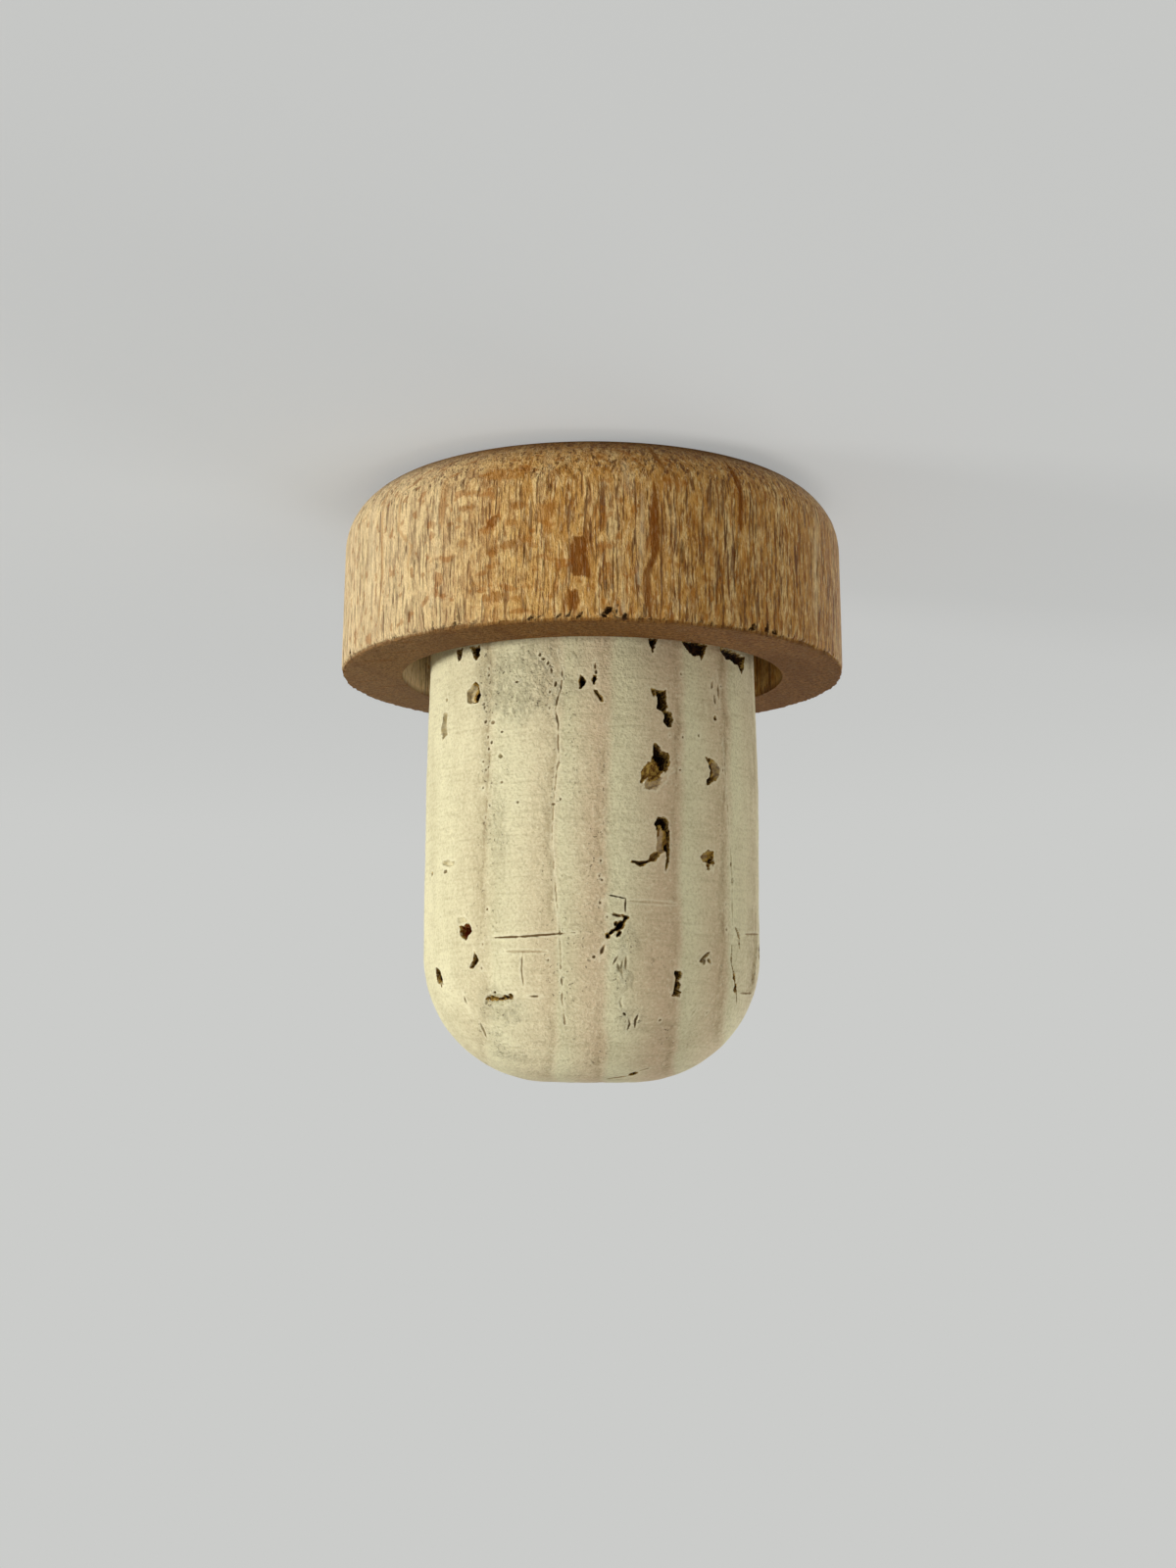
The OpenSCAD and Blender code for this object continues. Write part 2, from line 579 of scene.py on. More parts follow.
def spot_gap(where, centre, height, length, width, lean):
    """The gap to an oval, exact at its edge and rough far away from it."""
    x, y = from_centre(where, centre, height)
    lean = math.radians(lean)
    across = (x * math.cos(lean) - y * math.sin(lean)) / (width / 2)
    down = (x * math.sin(lean) + y * math.cos(lean)) / (length / 2)
    return (np.hypot(across, down) - 1) * min(length, width) / 2


def line_gap(where, points, width):
    """The gap to a line through points that are (turn, height) pairs. It thins out at both ends."""
    turn, along, radius, up = where
    middle = points[0][0]
    x = round_about(turn, middle) * radius
    nearest = np.full(len(turn), 1e9)
    reached = np.zeros(len(turn))
    for k, ((t0, h0), (t1, h1)) in enumerate(zip(points[:-1], points[1:])):
        ax, bx = [(math.radians(t) - math.radians(middle)) * radius for t in (t0, t1)]
        ay, by = up(h0), up(h1)
        length = (bx - ax) ** 2 + (by - ay) ** 2
        share = np.clip(((x - ax) * (bx - ax) + (along - ay) * (by - ay)) / length, 0, 1)
        away = np.hypot(x - ax - share * (bx - ax), along - ay - share * (by - ay))
        closer = away < nearest
        nearest = np.where(closer, away, nearest)
        reached = np.where(closer, (k + share) / (len(points) - 1), reached)
    return nearest - width / 2 * (1 - np.abs(2 * reached - 1) ** 3)


def patch_gap(where, centre, height, corners):
    """The gap to a patch with straight sides. Its corners are in millimetres from its centre."""
    x, y = from_centre(where, centre, height)
    nearest = np.full(len(x), 1e9)
    inside = np.zeros(len(x), bool)
    for (ax, ay), (bx, by) in zip(corners, corners[1:] + corners[:1]):
        dx, dy = bx - ax, by - ay
        share = np.clip(((x - ax) * dx + (y - ay) * dy) / (dx * dx + dy * dy), 0, 1)
        nearest = np.minimum(nearest, np.hypot(x - ax - share * dx, y - ay - share * dy))
        crosses = (y < ay) != (y < by)
        inside ^= crosses & (x < ax + dx * (y - ay) / (dy if dy else 1))
    return np.where(inside, -nearest, nearest)


trial = (np.zeros(3), np.array([0, 1, 2]), np.full(3, 10), float)
print("gaps to an oval 2 mm long:", spot_gap(trial, 0, 0, 2, 1, 0))

# %% From gaps to depths and paint
def within(gap, soft):
    """1 well inside a mark, 0 outside it, and a smooth wall of that width between."""
    return 1 - smooth_step(-soft, 0, gap)


def most(values):
    """The greatest of many values at each point."""
    return reduce(np.maximum, values)


def least(values):
    """The least of many values at each point."""
    return reduce(np.minimum, values)


print("depth across a wall 0.2 mm wide:", within(np.array([-0.2, -0.1, 0]), 0.2))

# %% [markdown]
# ## The cork's outline
# The shank is a plain cork from the recess's floor up: a slight taper where it leaves the head, a
# straight run that grips the bottle, and a large round end with a small flat. Heights of marks are
# given above the head's underside, which is easy to measure on the real thing.

# %% Cork outline
cork_cell = 0.3
cork_columns = 210
neck_end = underside + neck_len
round_start = cork_end - end_round
flat_r = cork_r - end_round
pole = 0.12
cork_outline = Outline(
    straight((0, recess_floor), (pole, recess_floor), 1),
    straight((pole, recess_floor), (neck_r, recess_floor), 2),
    straight((neck_r, recess_floor), (neck_r, underside), 0.5),
    straight((neck_r, underside), (cork_r, neck_end), cork_cell),
    straight((cork_r, neck_end), (cork_r, round_start), cork_cell),
    bend((flat_r, round_start), end_round, 0, 90, cork_cell),
    straight((flat_r, cork_end), (pole, cork_end), cork_cell),
    straight((pole, cork_end), (0, cork_end), 1),
)


def up_the_cork(height):
    """The distance along the outline to a height above the head's underside."""
    side = cork_outline.points[:, 1] - underside
    return float(np.interp(height, side[2:], cork_outline.along[2:]))


print(f"the cork's outline is {cork_outline.along[-1]:.1f} mm long")

# %% [markdown]
# ## Pores of the cork
# Cork is bark. Its pores are the tree's breathing channels, cut open when the cork was punched and
# sanded, and their walls are darker than the bark: golden where they are shallow, and painted nearly
# black where they are deep, which is painted shade in the hole. A pore often has both, a hole and a
# shelf beside it, and those are two patches.
# A patch is (turn, height, depth, corners), with each corner in millimetres from the patch's middle:
# towards the camera's left, then away from the head. Noise alone gives pores that all look alike, so
# these are listed one by one and named for what they look like.

# %% Patches near the head
cork_patches = {
    "olive shelf": (44.0, 2.45, 0.30, [(-0.2, -0.75), (-0.6, 0.05), (-0.4, 0.3), (0.15, 0.5),
        (0.5, 0.25), (0.55, -0.3)]),
    "olive hole": (42.4, 2.4, 1.1, [(0.12, -0.72), (-0.08, -0.5), (-0.36, 0.08), (-0.14, 0.42),
        (0.22, 0.5), (0.3, 0.1), (0.1, -0.12)]),
    "black tooth": (3.2, 2.15, 1.4, [(0.2, -0.66), (0.05, -0.3), (-0.24, 0.02), (-0.14, 0.22),
        (0.05, 0.45), (0.18, 0.46), (0.13, 0.1)]),
    "small ring": (-0.5, 2.05, 0.7, [(0.15, -0.1), (-0.1, -0.2), (-0.2, 0.0), (0.0, 0.25), (0.2, 0.1)]),
    "short stroke": (-2.0, 3.0, 0.45, [(0.22, -0.3), (0.05, -0.3), (-0.2, 0.1), (-0.24, 0.36),
        (-0.05, 0.34), (0.12, 0.0)]),
    "slanted hole": (-23.0, 3.15, 1.4, [(0.45, -0.72), (0.2, -0.62), (-0.3, -0.62), (-0.34, 0.1),
        (-0.42, 0.35), (-0.15, 0.66), (0.2, 0.42), (0.25, -0.1)]),
    "its ear": (-20.4, 2.75, 0.4, [(0.15, -0.3), (-0.1, -0.25), (-0.12, 0.1), (0.0, 0.35),
        (0.08, 0.1)]),
    "its foot": (-25.4, 4.2, 1.2, [(0.25, -0.45), (-0.2, -0.45), (-0.34, -0.05), (-0.22, 0.34),
        (0.05, 0.42), (0.2, 0.2)]),
    "broad shelf": (-19.4, 7.1, 0.48, [(-0.1, -0.8), (-0.6, -0.5), (-0.8, 0.0), (-0.2, 0.55),
        (0.3, 0.45), (0.62, 0.75), (0.66, 0.2), (0.4, -0.2), (0.0, -0.45)]),
    "broad hole": (-23.0, 6.4, 1.5, [(0.5, -0.85), (0.15, -0.72), (0.0, -0.35), (-0.4, -0.3),
        (-0.52, 0.0), (-0.45, 0.4), (-0.25, 0.85), (0.0, 0.65), (0.05, 0.25), (0.5, 0.0)]),
    "pale floor": (-20.4, 7.95, 0.32, [(0.5, -0.35), (-0.1, -0.45), (-0.5, -0.45), (-0.25, 0.1),
        (0.3, 0.3), (0.55, 0.1)]),
    "pale lip": (-21.7, 7.7, 0.12, [(-0.6, -0.45), (-0.95, -0.7), (0.1, 0.6), (0.85, 0.45),
        (0.2, 0.1)]),
    "hook shelf": (-43.6, 6.8, 0.35, [(0.4, -0.62), (-0.1, -0.55), (-0.55, -0.25), (-0.55, 0.15),
        (-0.2, 0.55), (0.3, 0.62), (0.15, 0.15), (0.2, -0.2)]),
    "hook hole": (-43.0, 6.85, 0.55, [(0.48, -0.78), (0.04, -0.66), (-0.2, -0.36), (-0.38, 0.1),
        (-0.22, 0.54), (0.34, 0.76), (0.44, 0.5), (0.12, 0.34), (0.1, -0.04), (0.22, -0.34)]),
    "olive groove": (60.9, 3.8, 0.26, [(0.15, -0.8), (-0.4, -0.7), (-0.3, -0.1), (-0.5, 0.6),
        (0.2, 0.8), (0.35, 0.1)]),
    "brown spot": (31.7, 6.2, 0.22, [(0.12, -0.03), (0.0, -0.1), (-0.12, 0.0), (-0.07, 0.08),
        (0.08, 0.05)]),
}
print(len(cork_patches), "patches near the head")

# %% Patches farther from the head
cork_patches.update({
    "tongue": (-22.9, 10.7, 0.3, [(0.25, -0.8), (-0.15, -0.8), (-0.35, -0.2), (-0.35, 0.9), (0.25, 1.1),
        (0.3, -0.2)]),
    "tongue's tip": (-22.9, 10.2, 0.9, [(0.24, -0.4), (-0.1, -0.46), (-0.38, -0.2), (-0.42, 0.3),
        (-0.2, 0.2), (-0.08, -0.1), (0.1, 0.0), (0.12, 0.5), (0.34, 0.3), (0.38, -0.05)]),
    "crescent": (-17.8, 12.2, 0.45, [(0.9, 0.1), (0.45, 0.15), (-0.1, 0.05), (-0.1, -0.25),
        (-0.7, -0.5), (-0.7, -0.25), (-0.5, 0.05), (-0.15, 0.05), (0.2, 0.3), (0.6, 0.25)]),
    "golden flake": (-41.1, 11.95, 0.42, [(0.6, -0.15), (0.0, -0.65), (-0.35, -0.5), (-0.35, -0.15),
        (-0.55, 0.15), (-0.1, 0.25), (0.0, 0.5), (0.2, 0.35), (0.1, 0.15), (0.4, 0.1)]),
    "rosy corner": (47.2, 15.55, 0.13, [(0.55, -0.5), (-0.1, -0.42), (-0.45, -0.15), (0.45, -0.1)]),
    "red hole": (46.0, 15.95, 0.75, [(0.5, -0.36), (-0.4, -0.42), (-0.58, 0.05), (-0.12, 0.5),
        (0.38, 0.18)]),
    "lens": (41.8, 17.6, 1.2, [(-0.05, -0.45), (-0.15, -0.25), (-0.3, 0.0), (-0.05, 0.25), (0.35, 0.4),
        (0.15, 0.1), (0.0, -0.1)]),
    "outer slit": (64.0, 18.3, 1.3, [(0.2, -0.6), (-0.3, -0.4), (-0.5, 0.2), (-0.2, 0.6), (0.25, 0.4)]),
    "ledge": (33.8, 19.78, 0.42, [(1.0, -0.04), (0.4, -0.12), (0.05, 0.0), (-0.4, -0.1), (-0.9, -0.06),
        (-0.8, 0.06), (-0.3, 0.06), (-0.1, 0.14), (0.5, 0.1), (0.9, 0.08)]),
    "ledge's dip": (33.5, 19.85, 0.1, [(0.9, -0.35), (-1.0, -0.3), (-0.85, 0.15), (-0.1, 0.3),
        (1.15, 0.25)]),
    "star": (-8.6, 15.95, 1.2, [(-0.5, -0.63), (-0.13, -0.68), (-0.27, -0.5), (-0.2, -0.34),
        (0.04, -0.28), (0.3, -0.16), (0.2, -0.02), (0.34, 0.1), (0.54, 0.28), (0.62, 0.46),
        (0.46, 0.52), (0.38, 0.34), (0.18, 0.2), (-0.08, 0.08), (-0.3, 0.0), (-0.31, -0.22),
        (-0.37, -0.42), (-0.52, -0.56)]),
    "star's loop": (-8.5, 16.3, 0.7, [(-0.14, -0.1), (0.0, -0.12), (0.04, 0.0), (0.16, 0.06),
        (0.1, 0.15), (-0.05, 0.13), (-0.16, 0.03)]),
    "star's point": (-7.9, 15.29, 0.4, [(0.2, -0.07), (0.0, -0.03), (-0.2, 0.02), (-0.18, 0.08),
        (0.0, 0.05)]),
    "upper bead": (-29.5, 18.55, 1.4, [(0.22, -0.24), (-0.12, -0.28), (-0.22, 0.0), (-0.12, 0.24),
        (0.12, 0.24)]),
    "lower bead": (-30.0, 19.22, 1.5, [(0.22, -0.44), (0.0, -0.42), (-0.22, -0.2), (-0.12, 0.0),
        (-0.28, 0.2), (-0.15, 0.46), (0.24, 0.42), (0.28, 0.0)]),
    "plate": (-64.4, 17.4, 0.09, [(2.0, -1.05), (1.55, -1.4), (-2.35, -1.75), (-1.65, 0.15),
        (-2.15, 1.75), (0.7, 1.85), (1.85, 0.4)]),
    "plate's pit": (-56.1, 18.4, 0.8, [(0.35, -0.2), (-0.1, -0.2), (-0.25, 0.2), (0.05, 0.2)]),
    "pale dimple": (55.5, 11.95, 0.2, [(0.8, -0.1), (0.2, -0.25), (-0.6, -0.1), (-0.6, 0.2),
        (0.2, 0.2)]),
})
print(len(cork_patches), "patches with those farther out")

# %% Patches at the head's edge and on the back
cork_patches.update({
    "notch 1": (43.4, 0.15, 0.8, [(0.4, -0.6), (-0.4, -0.6), (-0.35, 0.0), (-0.1, 0.4), (0.15, -0.05)]),
    "notch 2": (51.8, 0.0, 0.8, [(0.3, -0.5), (-0.3, -0.5), (-0.2, -0.1), (-0.1, 0.15), (0.15, 0.25)]),
    "notch 3": (-20.4, 0.15, 0.8, [(0.3, -0.6), (-0.3, -0.6), (0.05, 0.28)]),
    "notch 4": (-36.9, 0.2, 0.52, [(0.9, -0.7), (-0.9, -0.7), (-0.75, -0.25), (-0.42, 0.3),
        (-0.25, 0.0), (0.1, 0.08), (0.5, -0.02)]),
    "notch 5": (-58.2, 0.05, 0.52, [(1.7, -0.6), (-1.5, -0.6), (-1.4, -0.1), (-0.9, 0.5), (-0.4, 0.08),
        (0.1, 0.12), (0.6, -0.08), (1.0, -0.02)]),
    "back trough": (98.0, 8.5, 1.2, [(0.1, -0.9), (-0.25, -0.5), (-0.4, 0.2), (-0.1, 0.85), (0.3, 0.5),
        (0.35, -0.3)]),
    "back shelf": (101.0, 8.9, 0.4, [(0.4, -0.6), (-0.2, -0.2), (-0.2, 0.6), (0.5, 0.3)]),
    "back boat": (131.0, 15.0, 0.9, [(0.0, -0.6), (-0.3, -0.1), (-0.2, 0.5), (0.15, 0.6), (0.3, 0.0)]),
    "back slit": (158.0, 5.3, 1.0, [(0.15, -0.7), (-0.15, -0.6), (-0.25, 0.5), (0.0, 0.7), (0.2, 0.2)]),
    "back hole": (184.0, 11.6, 1.3, [(0.2, -1.0), (-0.3, -0.6), (-0.4, 0.3), (0.1, 1.0), (0.35, 0.6),
        (0.2, 0.0), (0.45, -0.4)]),
    "back fork": (-139.0, 17.4, 1.0, [(0.3, -0.6), (0.0, -0.2), (-0.35, -0.5), (-0.25, 0.3),
        (0.1, 0.6)]),
    "back chip": (-112.0, 7.3, 1.0, [(0.1, -0.7), (-0.3, -0.3), (-0.2, 0.5), (0.2, 0.65), (0.3, 0.0)]),
    "back wedge": (-93.0, 14.0, 0.9, [(0.35, -0.5), (-0.4, -0.2), (-0.1, 0.55), (0.25, 0.2)]),
})
print(len(cork_patches), "patches in all")

# %% [markdown]
# ## Small pores
# A small pore is a spot, (turn, height, length, width, lean, depth). The pores of cork cluster along
# its growth lines, so most of the small ones are drawn by lot, close to those lines, and the far side
# gets some middling ones as well. The few that anyone would notice are listed one by one.

# %% Small pores
cork_spots = [
    (-45.3, 3.7, 0.3, 0.26, 0, 0.6), (-44.1, 1.8, 0.5, 0.16, 15, 0.3), (-45.4, 2.6, 0.5, 0.14, -8, 0.2),
    (59.4, 2.3, 0.2, 0.18, 0, 0.3), (57.8, 12.35, 0.2, 0.4, 0, 0.3), (69.0, 12.3, 0.32, 0.22, 0, 0.5),
    (-41.1, 12.4, 0.2, 0.2, 0, 1.0), (-43.2, 11.95, 0.5, 0.16, 0, 0.9),
    (-4.9, 16.44, 0.34, 0.3, 0, 0.6), (-9.2, 15.84, 0.5, 0.42, 20, 1.2),
    (-7.5, 15.78, 0.28, 0.26, 0, 0.9), (-6.1, 16.24, 0.5, 0.24, 45, 1.0),
    (-3.2, 17.25, 0.55, 0.18, 20, 0.22), (-0.6, 17.6, 0.2, 0.2, 0, 0.25),
    (-7.3, 17.8, 0.6, 0.12, 30, 0.14), (-10.8, 17.9, 0.6, 0.11, 0, 0.16),
    (-58.7, 19.0, 0.5, 0.42, 0, 0.9), (31.0, 19.72, 0.3, 0.3, 0, 0.8), (36.6, 19.7, 0.24, 0.34, 0, 0.7),
    (33.6, 19.84, 0.2, 0.4, 0, 0.6), (38.8, 19.75, 0.18, 0.3, 0, 0.6), (28.9, 19.6, 0.16, 0.24, 0, 0.6),
    (35.3, 19.45, 0.12, 0.16, 0, 0.5), (19.8, 19.7, 0.12, 0.4, 0, 0.2), (50.0, 19.8, 0.5, 0.12, 0, 0.2),
    (-29.6, 23.85, 0.8, 0.42, 10, 1.0), (37.9, 4.1, 0.18, 0.13, 0, 0.25),
    (34.8, 4.2, 0.2, 0.26, 0, 0.12), (31.1, 4.8, 0.12, 0.14, 0, 0.2), (36.7, 5.0, 0.15, 0.11, 0, 0.2),
    (35.1, 5.35, 0.15, 0.13, 0, 0.3), (36.3, 5.7, 0.14, 0.12, 0, 0.2), (38.6, 6.4, 0.14, 0.12, 0, 0.2),
    (38.4, 7.9, 0.14, 0.12, 0, 0.2), (30.8, 7.7, 0.14, 0.18, 0, 0.12), (24.8, 8.9, 0.14, 0.18, 0, 0.15),
    (12.6, 9.1, 0.14, 0.24, 0, 0.2), (10.2, 8.85, 0.15, 0.12, 0, 0.2),
    (36.0, 14.8, 0.14, 0.16, 0, 0.25), (-0.9, 1.3, 0.36, 0.12, 0, 0.2),
    (-1.2, 1.65, 0.22, 0.13, 0, 0.25), (-52.6, 12.0, 0.24, 0.16, 0, 0.3),
    (-53.6, 12.9, 0.26, 0.14, 0, 0.3), (-47.3, 2.1, 0.8, 0.12, -6, 0.2),
    (16.4, 0.8, 0.12, 0.2, 0, 0.25), (14.8, 1.05, 0.24, 0.1, 20, 0.25),
    (13.6, 1.5, 0.28, 0.1, -10, 0.2), (25.8, 2.0, 0.1, 0.18, 0, 0.2), (17.6, 0.55, 0.2, 0.12, 0, 0.3),
    (12.2, 2.3, 0.3, 0.12, 10, 0.2), (-30.9, 5.1, 0.12, 0.12, 0, 0.3), (-37.4, 4.9, 0.14, 0.1, 0, 0.3),
    (-29.7, 7.0, 0.16, 0.12, 0, 0.3),
]
luck = np.random.default_rng(27)
growth_lines = [37.5, 13, -3, -28.5, -49, 62, 88, 113, 141, 167, -168, -141, -117, -85]
crowded_line = 37.5
for line in growth_lines:
    for _ in range(10 if line == crowded_line else 5):
        size = luck.uniform(0.08, 0.16)
        place = luck.normal(line, 1.5), luck.uniform(0.8, 21)
        cork_spots.append((*place, size, size * luck.uniform(0.6, 0.9), 0, 0.15))
    for _ in range(5 if abs(line) > 70 else 0):
        size = luck.uniform(0.25, 0.9)
        place = luck.normal(line, 3), luck.uniform(0.8, 20.5)
        cork_spots.append((*place, size, size * luck.uniform(0.3, 0.7), luck.normal(0, 14), 0.3 + size))
print(len(cork_spots), "small pores")

# %% [markdown]
# ## Cracks and scratches
# Cork splits a little along its grain as it dries, and the sander and the bottle scratch it. Both are
# lines: (points, width, depth, stain), where the stain darkens a line even if it is hardly deeper than
# the skin. In the fine cracks the stain is painted shade, for a depth that the faces don't have. The
# longest cracks are (points, width, stain), and they show only here and there. A pattern of cracks
# would run across the pores. These run between them.

# %% Cracks, grooves and scratches
cork_lines = [
    ([(-24.3, 10.0), (-25.3, 10.5), (-25.0, 11.4), (-25.1, 12.0), (-24.2, 12.8)], 0.2, 0.9, 0.0),
    ([(36.0, 16.42), (22.0, 16.42), (5.0, 16.27)], 0.11, 0.06, 0.6),
    ([(30.3, 17.2), (14.4, 17.3)], 0.12, 0.02, 0.25),
    ([(-4.9, 14.17), (-11.1, 14.38)], 0.11, 0.15, 0.9),
    ([(-10.6, 14.3), (-10.5, 15.2)], 0.08, 0.12, 0.6),
    ([(-11.0, 14.5), (-28.0, 14.58)], 0.12, 0.03, 0.15),
    ([(-6.0, 15.25), (-9.2, 15.37)], 0.08, 0.15, 0.6), ([(-54.6, 15.5), (-57.6, 16.1)], 0.14, 0.4, 0.3),
    ([(-57.0, 15.85), (-58.5, 16.2), (-58.5, 16.75)], 0.14, 0.4, 0.3),
    ([(-41.6, 17.1), (-39.2, 17.4), (-37.3, 17.7)], 0.15, 0.4, 0.0),
    ([(-40.7, 17.5), (-42.3, 17.75)], 0.14, 0.38, 0.0),
    ([(-39.3, 17.4), (-39.2, 17.9)], 0.12, 0.35, 0.0),
    ([(-38.5, 17.75), (-37.6, 17.55)], 0.12, 0.35, 0.0),
    ([(-52.9, 16.3), (-52.6, 17.4), (-55.1, 18.2), (-59.2, 19.1), (-64.6, 20.0)], 0.15, 0.35, 0.4),
    ([(-60.6, 15.88), (-80.4, 15.6)], 0.11, 0.1, 0.4),
    ([(-62.4, 19.25), (-78.4, 19.1)], 0.11, 0.1, 0.4),
    ([(-12.6, 12.25), (-15.2, 12.38), (-17.8, 12.3), (-20.0, 12.1)], 0.17, 0.7, 0.3),
    ([(-13.5, 24.12), (-27.5, 23.95)], 0.28, 0.35, 0.2),
    ([(-31.0, 23.7), (-36.0, 23.5)], 0.14, 0.2, 0.2),
    ([(-10.2, 19.7), (-9.6, 20.0), (-10.9, 20.5)], 0.1, 0.14, 0.1),
    ([(-11.2, 20.6), (-12.4, 20.8)], 0.12, 0.2, 0.6),
    ([(-13.5, 20.9), (-14.3, 21.2), (-13.9, 21.6)], 0.1, 0.17, 0.4),
    ([(-16.9, 20.7), (-16.2, 21.0), (-16.7, 21.4)], 0.1, 0.17, 0.5),
    ([(-8.0, 17.9), (-8.8, 18.4)], 0.1, 0.14, 0.15),
    ([(-9.9, 17.6), (-9.3, 18.2), (-10.3, 19.0)], 0.09, 0.14, 0.1),
    ([(-40.1, 20.25), (-38.5, 20.75)], 0.12, 0.12, 0.1),
    ([(47.0, 21.0), (49.0, 21.9)], 0.16, 0.12, 0.15),
    ([(22.6, 17.3), (23.4, 18.3), (23.2, 19.2)], 0.09, 0.06, 0.4),
    ([(101, 17.2), (123, 17.6)], 0.12, 0.1, 0.8),
    ([(-150, 9.0), (-141, 9.3), (-138, 10.1)], 0.18, 0.5, 0.2),
]
long_cracks = [
    ([(11.2, 0.35), (9.8, 1.4), (10.3, 2.6), (11.4, 3.1), (12.2, 3.8), (11.1, 4.6), (11.2, 5.7),
        (10.5, 6.8)], 0.09, 0.5),
    ([(10.5, 6.2), (11.5, 7.3), (12.5, 9.0), (13.0, 11.0), (12.3, 12.8), (10.2, 16.4),
        (10.0, 18.2)], 0.05, 0.28),
    ([(10.3, 17.9), (9.8, 19.3), (10.4, 19.9), (10.1, 20.5), (10.2, 21.2)], 0.06, 0.45),
    ([(-49.2, 4.9), (-51.1, 8.7), (-52.6, 11.3), (-53.3, 13.1), (-53.1, 15.2),
        (-52.9, 16.3)], 0.08, 0.2),
    ([(113, 0.5), (114, 6.0), (112, 11.0), (114.5, 17.0)], 0.09, 0.2),
    ([(-168, 3.0), (-166, 9.0), (-168, 16.0), (-164, 20.0)], 0.09, 0.2),
]
print(len(cork_lines), "short lines and", len(long_cracks), "long cracks")

# %% [markdown]
# ## Growth rings of the cork
# Growth rings are flat sheets through the bark. On the side of the shank they show as stripes that run
# up it, and on the end as bars. Each ring starts pale, blushes towards its far side and ends in a thin
# brown line that comes and goes, where the next one starts pale again. They come from the place in the
# bark, so the stripes on the side and the bars on the end meet as they do in a real cork. Stripes laid
# on the sheet wouldn't meet. Rough patches are places where the sander tore the bark a little:
# (turn, height, length, width, grime).

# %% Rings and rough patches
ring_ends = [9.3, 6.05, 2.2, -0.55, -4.65, -7.5, -9.6, -11.0]
ring_blush = [0.2, 0.45, 0.8, 1.0, 0.75, 0.4, 0.6]
rough_patches = [
    (26, 2.0, 5.2, 7.2, 0.7), (35, 20.2, 3.4, 4.0, 0.5), (14, 0.8, 1.8, 1.6, 0.6),
    (-10.5, 16.6, 3.4, 1.3, 0.1), (-9.5, 19.0, 2.4, 1.0, 0.1), (-15, 21.0, 2.2, 2.4, 0.2),
    (-27, 21.5, 1.6, 2.0, 0.1), (34, 9.5, 7.0, 1.6, 0.2), (45, 22.4, 3.4, 2.0, 0.4),
    (150, 3.0, 4.0, 3.5, 0.7), (-100, 18.0, 3.5, 3.0, 0.4), (105, 19.0, 3.0, 2.0, 0.2),
]


def bark_layers(points):
    """How far each ring has blushed, and its brown line, at places in the bark."""
    wobble = 0.3 * soft_noise(points * (0.05, 0.3, 0.13), 11) + 0.12 * soft_noise(points * (0.2, 1, 0.9), 12)
    shows = smooth_step(-0.5, 0.5, soft_noise(points * (0.3, 0.3, 0.16), 14))
    across = points[:, 0] + wobble
    blush, line = np.zeros((2, len(points)))
    for start, end, strength in zip(ring_ends, ring_ends[1:], ring_blush):
        share = (start - across) / (start - end)
        past = (share - 1) * (start - end)
        fading = np.where(past < 0, smooth_step(0.1, 0.95, share), 1 - smooth_step(0, 0.6, past))
        blush = np.maximum(blush, strength * fading)
        line = np.maximum(line, np.exp(-np.abs(past) / np.where(past < 0, 0.32, 0.07)))
    return blush, line * (0.3 + 0.7 * shows)


print(len(ring_blush), "rings,", len(rough_patches), "rough patches")

# %% [markdown]
# ## How marks shape and paint the cork
# Each mark sinks the skin by its depth, with a steep wall, and paints what lies inside it. Anything
# deeper than a shallow scratch counts as a pore, and the deeper ones get walls painted nearly black,
# which is painted shade. Small pores that are shallow get a dark stain, also painted shade, for a depth
# that they don't have in the faces. The paint reaches a little past the edge, so that the finish has
# room to draw that edge itself.

# %% How marks shape and paint the cork
paint_reach, paint_soft = 0.16, 0.06
# Deep pores get walls painted nearly black as painted shade; small pores shallower than the third depth get a
# dark stain, which is painted shade too.
pore_depth, shade_depth, shade_stain_below = 0.15, 0.5, 0.3
paint_range = 0.3


def cork_gaps(where):
    """The gap to each mark of the cork, with its softness, depth and stain."""
    turn, along = where[:2]
    flat = np.stack([turn * cork_r, along, np.zeros(len(turn))], 1)
    ragged = 0.07 * soft_noise(flat * 2.6, 1) + 0.06 * soft_noise(flat * 5.2, 2)
    broken = 0.06 * np.maximum(0, soft_noise(flat * (1.3, 0.9, 1), 5))
    for centre, height, sunk, corners in cork_patches.values():
        yield patch_gap(where, centre, height, corners) + ragged, 0.1, sunk, 0
    for *spot, sunk in cork_spots:
        size = min(spot[2:4])
        gap = spot_gap(where, *spot) + min(0.5, 2 * size) * ragged
        # A small pore shallower than the limit gets a dark stain: painted shade for the depth that it doesn't
        # have.
        yield gap, 0.3 * size, sunk, 0.4 if sunk < shade_stain_below else 0
    for points, width, sunk, darkening in cork_lines:
        yield line_gap(where, points, width) + 0.3 * ragged, 0.4 * width, sunk, darkening
    for points, width, darkening in long_cracks:
        yield line_gap(where, points, width) + 0.6 * (ragged + broken), 0.05, width, darkening


